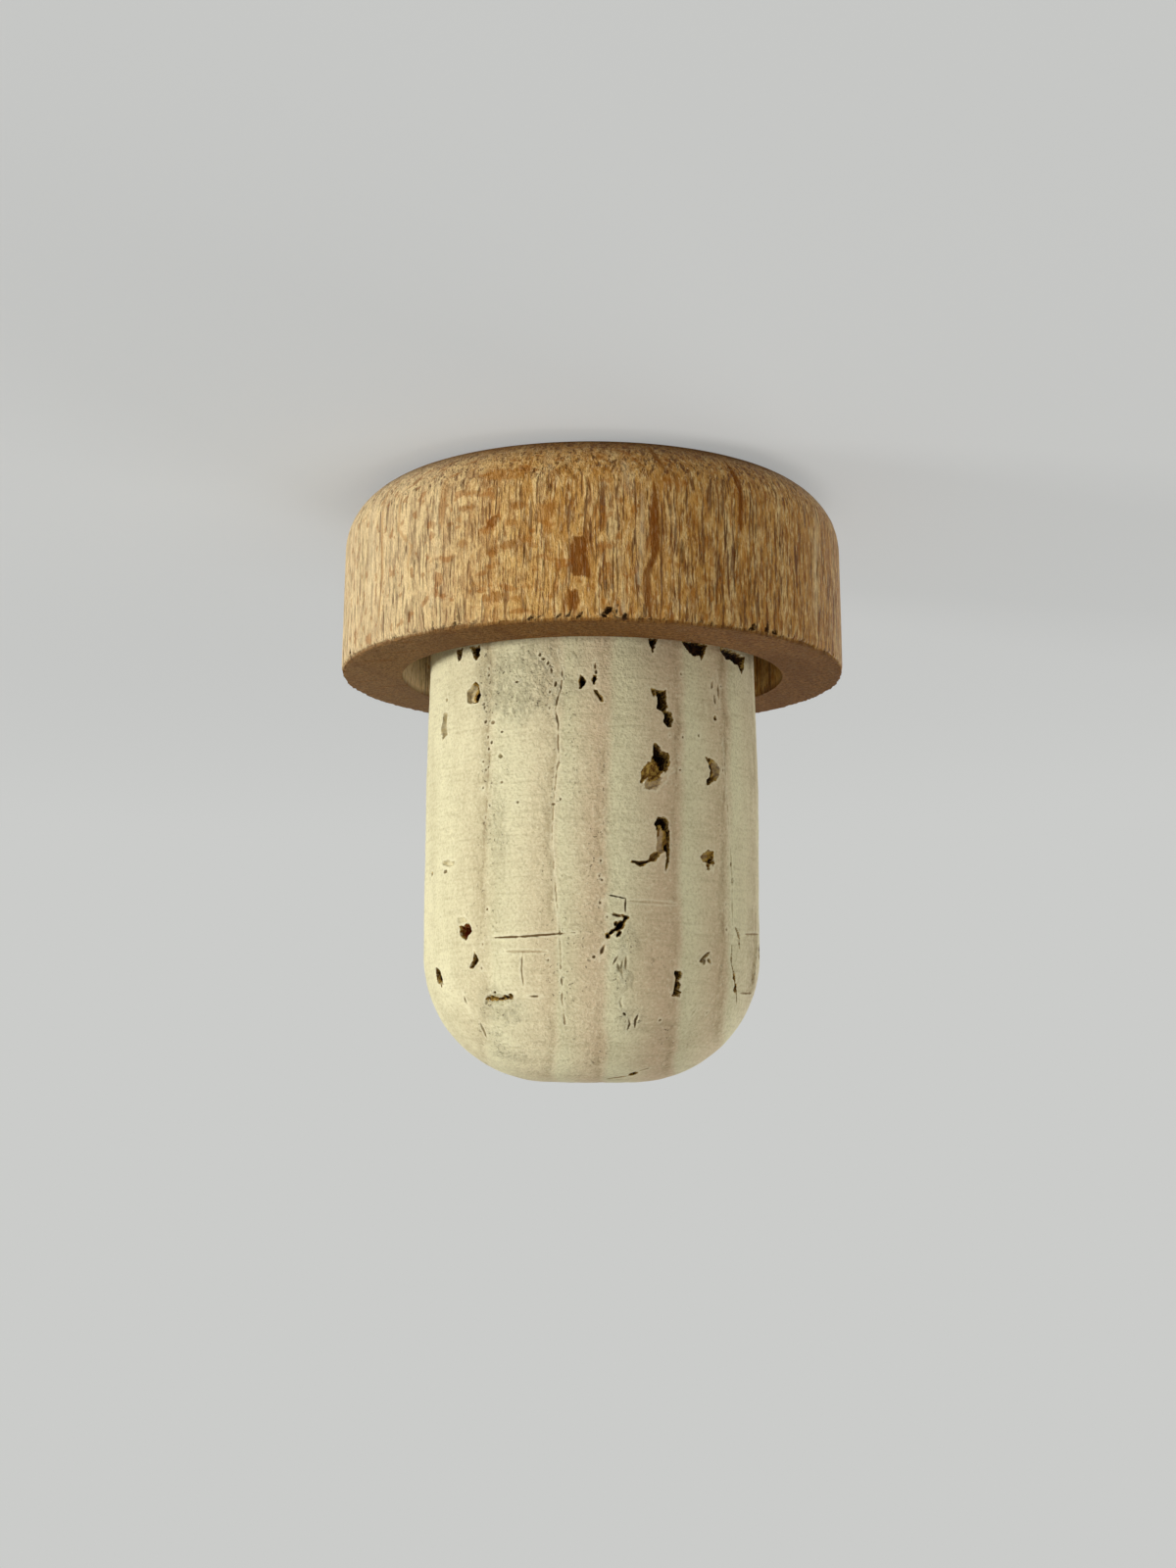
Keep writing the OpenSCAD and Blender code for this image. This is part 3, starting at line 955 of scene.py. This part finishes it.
def cork_marks(turn, along):
    """Depth and the gap to the nearest mark at each point, and the marks' paint."""
    where = (turn, along, np.maximum(cork_outline.at(along)[0], 1), up_the_cork)
    marks = list(cork_gaps(where))
    painted_over = [(within(gap - paint_reach, paint_soft), sunk, darkening) for gap, _, sunk, darkening in marks]
    # Small marks get a steeper gap in their paint, or the finish would fray them away.
    keen = [(gap * min(2, max(1, 0.1 / soft)), sunk, darkening) for gap, soft, sunk, darkening in marks]
    gaps = {
        "to_pore": least(gap for gap, sunk, _ in keen if sunk > pore_depth),
        "to_deep": least(gap for gap, sunk, _ in keen if sunk > shade_depth),
        "to_stain": least(gap for gap, _, darkening in keen if darkening > 0),
    }
    paint = {key: np.clip(gap, -paint_range, paint_range) for key, gap in gaps.items()}
    paint["pore"] = most(about * np.clip(3 * (sunk - pore_depth), 0, 1) for about, sunk, _ in painted_over)
    paint["stain"] = most(about * darkening for about, _, darkening in painted_over)
    centre, height, _, corners = cork_patches["red hole"]
    paint["red"] = 1 - smooth_step(0, 0.1, patch_gap(where, centre, height, corners))
    depth = most(within(gap, soft) * sunk for gap, soft, sunk, _ in marks)
    return depth, least(gap for gap, *_ in marks), paint


two_places = np.radians([46, 80]), np.full(2, up_the_cork(15.95))
print("marks are", cork_marks(*two_places)[0].round(2), "mm deep in the red hole and beside it")

# %% [markdown]
# ## The cork's skin
# A cork that was punched and sanded isn't quite round. It keeps slow waves and a fine crumb, which is
# coarser where the bark tore, and the brown lines of its rings lie a little lower. All of this and the
# marks add up to one depth at each point, which keeps the skin in one piece. Cutting each pore out with
# a boolean would leave hundreds of thin, broken edges. Next to the glue the skin isn't sunk at all, so
# that it meets the recess's floor.

# %% The cork's skin
def cork_detail(turn, along):
    """Cells of the cork that are cut finer: those in or close by a mark."""
    return cork_marks(turn, along)[1] < 0.9 * cork_cell


def cork_relief(turn, along):
    """How far the cork's skin is sunk, and its paint layers."""
    radius, height = cork_outline.at(along)
    points = rolled(turn, radius, height)
    where = (turn, along, np.maximum(radius, 1), up_the_cork)
    depth, nearest, paint = cork_marks(turn, along)
    paint["blush"], paint["line"] = bark_layers(points)
    torn = []
    for *patch, grey in rough_patches:
        gap = spot_gap(where, *patch, 0) + 0.6 * soft_noise(points * 1.1, 13) - 0.3
        torn.append((within(gap, min(1.4, patch[3] / 2)), grey))
    paint["rough"] = most(inside for inside, _ in torn)
    paint["grime"] = most(inside * grey for inside, grey in torn)
    # A pale ring just outside each mark: a painted highlight on the mark's lip.
    paint["lip"] = smooth_step(0, 0.04, nearest) * (1 - smooth_step(0.04, 0.18, nearest))

    waves = 0.035 * bumps(points, 0.22, 7) + 0.012 * bumps(points, 1.1, 8)
    crumbs = (0.008 + 0.035 * paint["rough"]) * bumps(points, 1.9, 9)
    floor = 1 + 0.35 * soft_noise(points * 2.8, 10)
    clear_of_glue = smooth_step(0.3, 0.8, height - recess_floor)
    return clear_of_glue * (waves + crumbs + 0.03 * paint["line"] + depth * floor), paint


cork_body = turned_skin("cork_body", cork_outline, cork_columns, cork_detail, cork_relief, cuts=5)

# %% [markdown]
# ## The cork's finish
# Natural cork is matte and almost white where it was sanded, with a blush of pink and grey, fine dark
# specks and a grain like very fine sand, and it has hardly any shine. The colour is built from the
# widest pattern to the finest: the blush and brown lines of the rings, grey where the bark is rough,
# specks, then a painted highlight on the marks' lips, the painted pores, whose deep walls carry painted
# shade, and the stains, and last the height of the finest grain as a bump. One flat colour with a bump
# looks like plastic, because real bark changes its colour at every size.

# %% Cork finish: the bark's colour
cork_finish, tree = new_material("cork_finish")
place = in_mm(tree)
upright = stretched(place, 1, 1, 0.3)
level = stretched(place, 0.3, 0.3, 3)
cream, pinkish, greenish = srgb(217, 209, 169), srgb(205, 180, 145), srgb(204, 198, 158)
clouds = noise(upright, 0.35, 4, 0.6)
blushed = (painted(tree, "blush") + (clouds - 0.47)).kept_in_range()
ring_grain = step_between(noise(upright, 1.8, 4, 0.65), 0.34, 0.62, 0.1, 0.9)
bark = layered(
    cream,
    coat(clouds, 0.42, 0.66, 1, greenish),
    (blushed * 0.95, pinkish),
    (painted(tree, "line") * ring_grain, srgb(146, 124, 86)),
)
print("the bark's colour takes", len(tree.nodes), "nodes")

# %% Rough bark and specks
sanded = noise(level, 1.5, 3, 0.6)
sandy = noise(place, 6.0, 3, 0.65)
mottle = step_between(noise(stretched(place, 1, 1, 0.7), 2.6, 5, 0.7), 0.38, 0.66, 0.15, 0.85)
crowd = step_between(noise(upright, 0.33, 2), 0.50, 0.72)
crowd = (crowd + (painted(tree, "line") + painted(tree, "rough"))).kept_in_range()
speck = step_between(noise(place, 5.2, 2, 0.4), 0.65, 0.71) * crowd
bark = layered(
    bark,
    coat(sanded, 0.45, 0.75, 0.30, srgb(160, 146, 108)),
    coat(sandy, 0.47, 0.74, 0.38, srgb(148, 132, 96)),
    coat(sandy, 0.50, 0.28, 0.35, srgb(234, 228, 192)),
    (painted(tree, "grime") * mottle, srgb(136, 127, 98)),
    (speck * 0.65, srgb(92, 76, 48)),
)
print("with roughness and specks,", len(tree.nodes))

# %% Pores and stains
crumbly = (noise(place, 7.0, 3, 0.6) - 0.5) * 0.22
pore = inside_of("to_pore", crumbly, 0.02) * painted(tree, "pore")
veins = step_between(noise(place, 4.5, 3, 0.6), 0.36, 0.62)
golden = blended(veins, srgb(184, 150, 70), srgb(106, 70, 20))
# Deep walls are painted nearly black: painted shade inside the hole. The red hole's own colour goes over it.
dark = blended(step_between(veins, 0.3, 0.9), srgb(58, 34, 12), srgb(20, 10, 3))
dark = blended(painted(tree, "red"), dark, srgb(126, 56, 20))
wall = blended(inside_of("to_deep", crumbly, -0.03), golden, dark)
# The stain: painted shade in small pores and fine cracks, and plain darkening on scratches.
darkened = inside_of("to_stain", crumbly * 0.35, 0.01) * painted(tree, "stain")
darkening = blended(step_between(darkened, 0.2, 0.9), srgb(140, 112, 66), srgb(46, 28, 10))
bark = layered(
    bark,
    # The painted highlight on the marks' lips.
    (painted(tree, "lip") * 0.35, srgb(232, 225, 190)),
    (pore, wall),
    ((darkened * 1.6).kept_in_range(), darkening),
)
print("with pores and stains,", len(tree.nodes))

# %% Grain and surface
sand = sanded * -0.3 + sandy * -0.6 + noise(place, 2.0, 3) * 0.7
sand = sand + noise(place, 3.4, 3, 0.6) * painted(tree, "rough") * 1.7 - speck * 0.3
surfaced(tree, bark, 0.9, sand, depth=0.12, shine=0.2)
cork_body.data.materials.append(cork_finish)
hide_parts("cork_shank")
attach(cork_body, "root")
print("the cork's finish has", len(tree.nodes), "nodes")

# %% [markdown]
# ## The head's outline
# The head is a turned disc. Its grain runs along the axis, so both flat faces show end grain and the
# wall shows the long fibres. The edge round its underside, called the lower edge because the camera
# sees it below, cuts the fibres short and is a little torn. The outline starts at the middle of the
# top, which it stands on, goes out round the top edge, up the wall, and back in over the underside and
# down into the recess. Its points lie closest together at the lower edge, where the torn fibres need
# them.

# %% Head outline
head_cell = 0.3
head_columns = 320
wall_top = head_r - wall_draft
recess_r = cork_r + recess_gap
near_edge = 0.6
head_outline = Outline(
    straight((0, 0), (pole, 0), 1),
    straight((pole, 0), (wall_top - top_round, 0), 0.6),
    bend((wall_top - top_round, top_round), top_round, -90, 0, head_cell),
    straight((wall_top, top_round), (head_r, underside - near_edge), head_cell),
    straight((head_r, underside - near_edge), (head_r, underside - edge_break), 0.15),
    straight((head_r, underside - edge_break), (head_r - edge_break, underside), 0.12),
    straight((head_r - edge_break, underside), (head_r - near_edge, underside), 0.15),
    straight((head_r - near_edge, underside), (recess_r, underside), head_cell),
    straight((recess_r, underside), (recess_r, recess_floor), 0.4),
    straight((recess_r, recess_floor), (pole, recess_floor), 1.2),
    straight((pole, recess_floor), (0, recess_floor), 1),
)


def up_the_head(height):
    """The distance along the outline to a height above the head's top, on the round edge or the wall."""
    outer = slice(0, int(np.argmax(head_outline.points[:, 1])) + 1)
    return float(np.interp(height, head_outline.points[outer, 1], head_outline.along[outer]))


print(f"the head's outline is {head_outline.along[-1]:.1f} mm long")

# %% [markdown]
# ## Flecks, streaks and torn fibres of the head
# Beech shows its rays. Where the wall runs along them they are broad orange flecks, and where it cuts
# across them they are short dark dashes. The small ones come from the wood's own pattern. The ones that
# stand out are listed one by one, because a pattern can't put one where it belongs. Patches are (turn,
# height, strength, corners) and spots are (turn, height, length, width, lean, strength). Heights on the
# head are above the floor that it stands on.

# %% Flecks
fleck_patches = {
    "main fleck": (2.4, 7.4, 1.0, [(0.4, -1.1), (-0.25, -1.0), (-0.3, -0.55), (-0.2, -0.2),
        (-0.4, 0.35), (-0.4, 1.15), (0.2, 1.05), (0.55, 0.85), (0.5, -0.55)]),
    "low fleck": (4.1, 9.8, 0.95, [(0.25, -0.55), (-0.2, -0.5), (-0.35, 0.0), (-0.2, 0.55),
        (0.15, 0.55), (0.3, 0.0)]),
    "pale fleck": (10.0, 5.25, 0.55, [(0.45, -0.85), (-0.35, -0.85), (-0.35, 0.0), (-0.25, 0.9),
        (0.0, 0.85), (0.4, -0.05)]),
    "back fleck": (152.0, 6.4, 0.9, [(0.3, -0.9), (-0.3, -0.8), (-0.35, 0.6), (0.1, 0.9), (0.4, 0.2)]),
    "far fleck": (-160.0, 4.8, 0.8, [(0.2, -0.7), (-0.25, -0.6), (-0.3, 0.5), (0.2, 0.75)]),
}
fleck_spots = [
    (8.4, 4.4, 0.9, 0.3, 0, 0.6), (19.2, 2.5, 0.8, 2.9, 3, 0.5), (26.2, 3.4, 0.35, 1.2, 0, 0.5),
    (27.1, 4.2, 0.35, 1.2, 0, 0.6), (15.5, 4.4, 0.45, 1.2, 0, 0.6), (13.0, 3.6, 0.3, 0.8, 0, 0.4),
    (21.5, 5.2, 0.6, 0.9, -20, 0.7), (23.4, 5.6, 0.5, 0.7, -30, 0.5), (17.2, 5.35, 0.4, 1.0, 0, 0.5),
    (28.4, 6.2, 0.5, 0.8, 0, 0.5), (18.4, 6.6, 0.5, 1.6, -12, 0.6), (21.5, 6.95, 0.35, 0.9, 0, 0.5),
    (20.5, 9.45, 0.5, 1.6, 0, 0.6), (16.2, 9.6, 0.3, 0.9, 0, 0.5), (29.6, 4.8, 0.4, 0.5, 0, 0.3),
    (14.0, 6.3, 0.5, 0.8, 0, 0.3), (24.0, 8.6, 0.35, 1.0, 0, 0.35), (12.0, 8.8, 0.5, 0.35, 0, 0.4),
    (7.3, 9.0, 0.8, 0.3, 0, 0.4), (-17.6, 2.8, 0.7, 0.35, 0, 0.6), (-8.6, 4.6, 1.0, 0.3, 0, 0.4),
    (-22.0, 4.9, 1.2, 0.32, 0, 0.5), (-24.5, 6.2, 1.0, 0.26, 0, 0.4), (-19.0, 7.6, 1.3, 0.3, 0, 0.4),
    (-27.0, 8.9, 1.0, 0.3, 0, 0.4), (-38.0, 8.6, 1.3, 0.3, 0, 0.4), (-43.5, 9.6, 1.2, 0.26, 0, 0.5),
    (171, 8.6, 1.1, 0.5, 0, 0.7), (88, 7.7, 1.2, 0.4, 0, 0.6), (-172, 7.0, 0.5, 1.3, 0, 0.5),
    (164, 3.6, 0.4, 1.6, 0, 0.5), (-95, 5.5, 1.4, 0.3, 0, 0.5), (120, 4.0, 1.2, 0.3, 0, 0.5),
]
print(len(fleck_patches), "large flecks and", len(fleck_spots), "small ones")

# %% [markdown]
# ## Streaks, pale lines, cracks and chips
# Streaks are dark fibres, and pale lines are painted highlights, where raised fibres catch the light:
# both are (points, width, strength). Cracks are points only, since all are equally fine. Chips are
# where the cutting tool broke fibres off at the lower edge. They are spots with a depth, and most of
# them are drawn by lot, since they go all the way round. Cracks and chips are painted dark inside, as
# painted shade.

# %% Streaks, pale lines, cracks and chips
streaks = [
    ([(-13.0, 0.6), (-14.2, 1.6), (-15.8, 2.4)], 0.26, 0.9), ([(-16.4, 2.2), (-13.9, 4.4)], 0.3, 0.35),
    ([(-12.9, 3.0), (-13.0, 5.0), (-12.9, 6.6), (-12.5, 7.8)], 0.46, 1.0),
    ([(-12.9, 7.0), (-11.0, 8.4), (-11.3, 9.6), (-11.8, 11.2)], 0.34, 0.95),
    ([(-31.8, 1.0), (-33.1, 3.0), (-33.0, 4.4), (-32.4, 5.6)], 0.36, 1.0),
    ([(-1.0, 4.4), (-2.4, 4.9), (-2.3, 5.6), (-1.2, 5.8), (-0.2, 5.2), (-0.8, 4.5)], 0.16, 0.75),
    ([(46.4, 2.6), (46.8, 4.6), (42.5, 5.7), (43.3, 6.7), (42.8, 8.2)], 0.16, 0.5),
    ([(33.2, 2.2), (33.8, 5.2)], 0.4, 0.4), ([(118, 1.5), (116.5, 6.0), (117.5, 10.8)], 0.3, 0.7),
    ([(53.7, 0.8), (52.9, 2.5), (53.0, 4.7), (52.3, 6.8), (53.1, 9.0), (54.0, 11.0)], 0.14, 0.55),
    ([(-131, 2.0), (-130, 9.0)], 0.3, 0.6), ([(-24.2, 3.2), (-24.6, 5.2)], 0.18, 0.5),
    ([(-27.6, 6.4), (-27.9, 8.2)], 0.2, 0.55), ([(-38.2, 7.0), (-38.6, 8.6)], 0.18, 0.5),
    ([(-44.8, 3.4), (-45.0, 5.0)], 0.18, 0.45), ([(-20.8, 8.8), (-21.4, 10.6)], 0.22, 0.55),
]
highlight_lines = [
    ([(-4.4, 9.9), (-5.3, 10.8)], 0.24, 1.0), ([(-6.0, 9.6), (-6.4, 10.9)], 0.3, 0.8),
    ([(-1.6, 10.2), (-1.4, 10.9)], 0.25, 0.7),
    ([(38.0, 0.8), (35.1, 2.3), (35.3, 4.3), (35.4, 6.1), (35.5, 7.6), (36.2, 9.3),
        (36.6, 10.7)], 0.5, 1.0),
    ([(57.5, 1.5), (57.0, 5.0), (58.0, 10.7)], 1.2, 0.6), ([(9.4, 0.8), (9.6, 3.4)], 0.5, 0.5),
    ([(-6.9, 1.5), (-7.6, 4.6)], 0.7, 0.5),
    ([(-10.6, 2.2), (-10.3, 5.0), (-9.6, 8.0), (-9.8, 10.8)], 0.45, 0.75),
    ([(0.4, 2.6), (0.6, 5.4)], 0.3, 0.6), ([(-60.0, 1.5), (-57.0, 10.0)], 1.3, 0.45),
    ([(-101, 1.5), (-100, 10.8)], 0.7, 0.6), ([(150, 1.5), (148, 10.8)], 0.9, 0.5),
]
cracks = [
    [(-32.4, 5.2), (-31.9, 6.3), (-31.8, 7.3)], [(-59.6, 5.3), (-58.6, 6.8)],
    [(-35.3, 7.6), (-34.8, 9.4)], [(-41.4, 5.6), (-41.4, 7.9)], [(-19.2, 6.4), (-19.0, 7.6)],
    [(47.5, 6.8), (47.2, 8.4)], [(125, 4.0), (125.5, 6.5)], [(-144, 6.0), (-143, 9.0)],
    [(97, 3.5), (97.4, 5.0)], [(176, 2.5), (176.4, 4.6)],
]
chips = [
    (-3.2, 10.4, 0.42, 0.3, 20, 0.45), (-2.4, 10.75, 0.4, 0.2, -30, 0.3),
    (-4.9, 10.4, 0.7, 0.14, 10, 0.15), (7.2, 10.75, 0.42, 0.13, 40, 0.3),
    (5.2, 10.72, 0.36, 0.12, 40, 0.25), (2.8, 10.78, 0.45, 0.13, 35, 0.3),
    (12.9, 10.8, 0.4, 0.15, 40, 0.3), (11.0, 10.7, 0.4, 0.12, 40, 0.2),
    (-6.4, 10.8, 0.5, 0.22, 10, 0.3), (-36.0, 10.7, 0.5, 0.3, 20, 0.3),
    (-39.5, 10.6, 0.6, 0.2, 10, 0.25), (-42.0, 10.75, 0.4, 0.4, 0, 0.3),
    (-128, 10.7, 0.8, 0.5, 10, 0.35), (69, 10.75, 0.5, 0.3, 0, 0.3), (138, 10.75, 0.6, 0.35, 15, 0.3),
]
for _ in range(70):
    size = luck.uniform(0.2, 0.55)
    place = luck.uniform(-180, 180), underside - size / 2
    chips.append((*place, size, luck.uniform(0.08, 0.15), luck.normal(20, 20), luck.uniform(0.06, 0.18)))
print(len(streaks), "streaks,", len(highlight_lines), "pale lines,", len(cracks), "cracks,", len(chips), "chips")

# %% [markdown]
# ## How marks paint and shape the head
# Flecks and streaks are only colour, and pale lines are only a painted highlight, while chips and cracks
# are cut into the wood and painted dark inside, deeper chips darker, as painted shade. The marks belong
# to the wall and the round edge, so they stop just past the lower edge. Their ragged edges are drawn
# out along the fibres, as they are in torn wood.

# %% How marks paint and shape the head
crack_width, crack_depth = 0.13, 0.05
mark_reach, mark_soft = 0.2, 0.1
mark_range, far_away = 0.4, 9
edge_along = up_the_head(underside - edge_break / 2)


def head_marks(turn, along):
    """Depth of the chips and the gap to the nearest mark at each point, and the marks' paint."""
    where = (turn, along, np.maximum(head_outline.at(along)[0], 1), up_the_head)
    flat = np.stack([turn * head_r, along, np.zeros(len(turn))], 1)
    ragged = 0.05 * soft_noise(flat * (6, 1.6, 1), 21) + 0.03 * soft_noise(flat * (15, 4, 1), 22)
    flecks, hollows, pale = [], [], []
    for centre, height, strength, corners in fleck_patches.values():
        flecks.append((patch_gap(where, centre, height, corners) + 2 * ragged, strength))
    for *spot, strength in fleck_spots:
        flecks.append((spot_gap(where, *spot) + 1.6 * ragged + 0.04, min(1, 1.3 * strength)))
    for points, width, strength in streaks:
        flecks.append((line_gap(where, points, width) + ragged, strength))
    # Pale lines: painted highlights along raised fibres.
    for points, width, strength in highlight_lines:
        pale.append(within(line_gap(where, points, width) + ragged, 0.45 * width) * strength)
    for points in cracks:
        hollows.append((line_gap(where, points, crack_width) + 0.6 * ragged, crack_depth))
    for *spot, sunk in chips:
        hollows.append((spot_gap(where, *spot) + ragged, sunk))

    outer = along < edge_along + mark_range
    gaps = {"to_fleck": least(gap for gap, _ in flecks), "to_hollow": least(gap for gap, _ in hollows)}
    nearest = np.where(outer, least(gaps.values()), far_away)
    paint = {}
    for key, gap in gaps.items():
        paint[key] = np.where(outer, np.clip(gap, -mark_range, mark_range), mark_range)
    paint["pale"] = most(pale) * outer
    # Chips and cracks are painted darker the deeper they are: painted shade.
    shown = [(gap, min(1, 0.3 + 3 * sunk)) for gap, sunk in hollows]
    for key, marks in (("fleck", flecks), ("hollow_shade", shown)):
        paint[key] = most(within(gap - mark_reach, mark_soft) * strength for gap, strength in marks)
    chipped = most(within(gap, 0.04) * sunk for gap, sunk in hollows)
    return chipped * outer, nearest, paint


two_places = np.radians([-3.2, -20]), np.full(2, up_the_head(10.4))
print("marks are", head_marks(*two_places)[0].round(2), "mm deep in a chip and beside it")

# %% [markdown]
# ## The head's skin
# The wall has fine fibres that stand up, slow waves left by the lathe, and one raised ridge of fibre
# that runs up it. At the lower edge the cutting tool tore the fibres. The flat faces were cut clean, and
# the recess takes the glue, so both stay as the solid has them. As on the cork, it all adds up to one
# depth at each point.

# %% The head's skin
ridge_turn, ridge_reach, ridge_height = 35.4, 0.7, 0.05
torn_reach = 0.22


def head_detail(turn, along):
    """Cells of the head that are cut finer: marks, and the torn lower edge all the way round."""
    return (head_marks(turn, along)[1] < 0.8 * head_cell) | (abs(along - edge_along) < 0.5)


def head_relief(turn, along):
    """How far the head's skin is sunk, and its paint layers."""
    radius, height = head_outline.at(along)
    out_r, out_z = head_outline.outward(along)
    points = rolled(turn, radius, height)
    chipped, _, paint = head_marks(turn, along)
    fibres = 0.016 * bumps(points, (2.4, 2.4, 0.16), 31) + 0.008 * bumps(points, (6.5, 6.5, 0.4), 32)
    waves = 0.03 * bumps(points, (0.28, 0.28, 0.05), 33)
    beside_ridge = round_about(turn, ridge_turn) * radius
    ridge = ridge_height * (1 - np.exp(-((beside_ridge / ridge_reach) ** 2)))
    at_edge = np.exp(-(((along - edge_along) / torn_reach) ** 2))
    torn = 0.16 * np.maximum(0, soft_noise(points * (2.1, 2.1, 0.1), 34) + 0.1)
    torn += 0.05 * bumps(points, (7, 7, 0.3), 35)
    wall = smooth_step(0.3, 0.9, out_r)
    stands = smooth_step(0.0, 0.5, height) * smooth_step(recess_r - 0.1, recess_r + 0.5, radius)
    endgrain = smooth_step(0.55, 0.98, np.abs(out_z))
    rim = (abs(radius - recess_r) < 0.05) & (height > underside - 0.05)
    paint["endgrain"] = np.maximum(endgrain, rim)
    paint["edge"] = at_edge
    return stands * (wall * (fibres + waves + ridge) + at_edge * torn + chipped), paint


head_body = turned_skin("head_body", head_outline, head_columns, head_detail, head_relief, cuts=3)

# %% [markdown]
# ## The head's finish
# Wood is one solid pattern that the lathe cut through, so the finish is a solid pattern too: it takes
# the place in three dimensions, and the same recipe gives long fibres on the wall and dots on the end
# grain. A flat wood texture would show a seam where it closes round the wall, and its fibres wouldn't
# go on over the edge. The fibres run along the axis, wavering a little: broad pale bands, dark threads
# and fine pale ones between them, short dashes of grain, a nap of fuzz, and dark furrow lines, which
# are gaps in the grain painted with their shade. The rays are thin upright sheets that stand square to
# the growth rings. The side of the piece that the key lamp lights is painted paler, as painted light,
# and the other side browner and darker, as painted shade, with the furrow lines stronger there. A thin
# wax gives a soft shine on the raised fibres.

# %% Head finish: rings and fibres
beech_finish, tree = new_material("beech_finish")
ray_turn = math.radians(-20)
place = in_mm(tree, ray_turn, waver=0.12)
across = put(tree, "SeparateXYZ", {"Vector": place}, output="X")


def along_fibres(shortening, scale, detail=3, rough=0.6):
    """Noise that is long along the axis: the smaller the first number, the longer it is."""
    return noise(stretched(place, 1, 1, shortening), scale, detail, rough)


rings = noise(stretched(place, 1, 0.2, 0.02), 0.75, 3, 0.6)
broad_fibre = along_fibres(0.08, 1.5)
fibre = along_fibres(0.12, 4.6, 4, 0.7)
fine_fibre = along_fibres(0.17, 8.0)
grain = along_fibres(0.34, 2.7, 4, 0.65)
fuzz = along_fibres(0.55, 7.5, 3, 0.7)
# Furrow lines: gaps between the fibres, painted dark with their shade, more strongly on the side away from
# the key lamp.
furrows = step_between(along_fibres(0.07, 5.2, 3, 0.55), 0.57, 0.62) * step_between(across, 8, -8, 0.45, 0.7)
honey, amber, umber = srgb(216, 180, 112), srgb(184, 136, 66), srgb(86, 38, 0)
wood = layered(
    honey,
    coat(rings, 0.38, 0.62, 1, amber),
    # The side away from the key lamp painted browner as painted shade, its darkest part, and the lit side
    # painted paler as painted light.
    coat(across, 9, -9, 0.75, srgb(200, 146, 66)),
    coat(across, -6, -14, 0.3, srgb(172, 120, 46)),
    coat(across, -2, 9, 0.6, srgb(236, 212, 160)),
    # The bands and threads of the fibres.
    coat(broad_fibre, 0.46, 0.78, 0.6, srgb(230, 208, 152)),
    coat(fibre, 0.50, 0.63, 0.8, srgb(116, 62, 0)),
    coat(fine_fibre, 0.50, 0.68, 0.6, srgb(244, 216, 156)),
    # Dashes of grain, the gaps between them, and fuzz.
    coat(grain, 0.49, 0.62, 0.4, srgb(124, 70, 0)),
    coat(grain, 0.46, 0.34, 0.45, srgb(238, 208, 144)),
    coat(fuzz, 0.46, 0.68, 0.45, srgb(142, 82, 4)),
    # The painted light of the lit side once more, over all of these, and the furrow lines with their painted
    # shade.
    coat(across, -2, 9, 0.35, srgb(244, 222, 174)),
    (furrows, umber),
)
print("rings and fibres take", len(tree.nodes), "nodes")

# %% Rays and vessels
rays = step_between(noise(stretched(place, 0.6, 4.0, 1.5), 1.0, 2, 0.5), 0.58, 0.66)
vessels = step_between(along_fibres(0.07, 9.0, 1, 0.4), 0.63, 0.68)
vessels = vessels * step_between(broad_fibre, 0.40, 0.60, 0.3, 1)
wood = layered(wood, (rays * 0.55, srgb(158, 92, 6)), (vessels * 0.7, srgb(76, 34, 0)))
print("with rays and vessels,", len(tree.nodes))

# %% Listed marks, end grain and chips
torn = (fibre - 0.5) * 0.6 + (fuzz - 0.5) * 0.3
strength = painted(tree, "fleck")
endgrain = painted(tree, "endgrain")
edge = painted(tree, "edge")
marked = step_between(painted(tree, "to_fleck") + torn, 0.08, -0.04)
marked = marked * step_between(fine_fibre, 0.45, 0.65, 1.0, 0.84) * strength
fleck_colour = blended(step_between(strength, 0.5, 1), srgb(172, 110, 30), srgb(118, 62, 2))
# End grain is painted darker than the wall: partly its own colour, and partly painted shade of the underside.
end_colour = blended(step_between(fibre, 0.35, 0.65), srgb(136, 90, 38), srgb(90, 54, 16))
end_colour = blended(step_between(rings, 0.45, 0.62, 0, 0.4), end_colour, srgb(94, 54, 16))
# Cracks and chips painted nearly black inside: painted shade.
hollow_shade = inside_of("to_hollow", torn, 0.01) * painted(tree, "hollow_shade")
wood = layered(
    wood,
    # The painted highlight of the pale lines.
    (painted(tree, "pale") * 0.55, srgb(234, 214, 166)),
    (marked * 0.88, fleck_colour),
    (endgrain * 0.85, end_colour),
    (edge * 0.3, srgb(112, 72, 32)),
    (hollow_shade * 0.85, srgb(44, 22, 6)),
)
print("with marks by hand,", len(tree.nodes))

# %% Relief and wax
relief = fibre * -0.6 + fine_fibre * 0.5 - fuzz * 0.4 - grain * 0.4 - vessels * 0.25 - furrows * 0.25
dull = greatest(vessels, hollow_shade, marked, endgrain, edge)
roughness = greatest(step_between(broad_fibre, 0.3, 0.7, 0.34, 0.50), dull * 0.95)
surfaced(tree, wood, roughness, relief, depth=0.28, shine=0.15)
head_body.data.materials.append(beech_finish)
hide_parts("wood_head")
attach(head_body, "root")
print("the wood's finish has", len(tree.nodes), "nodes")

# %% [markdown]
# ## Finish
# The dressed stopper has to fill the same box as the solids. The last cell sets the render's view
# transform.

# %% The render's view transform
scene = bpy.context.scene
scene.view_settings.view_transform = "Standard"
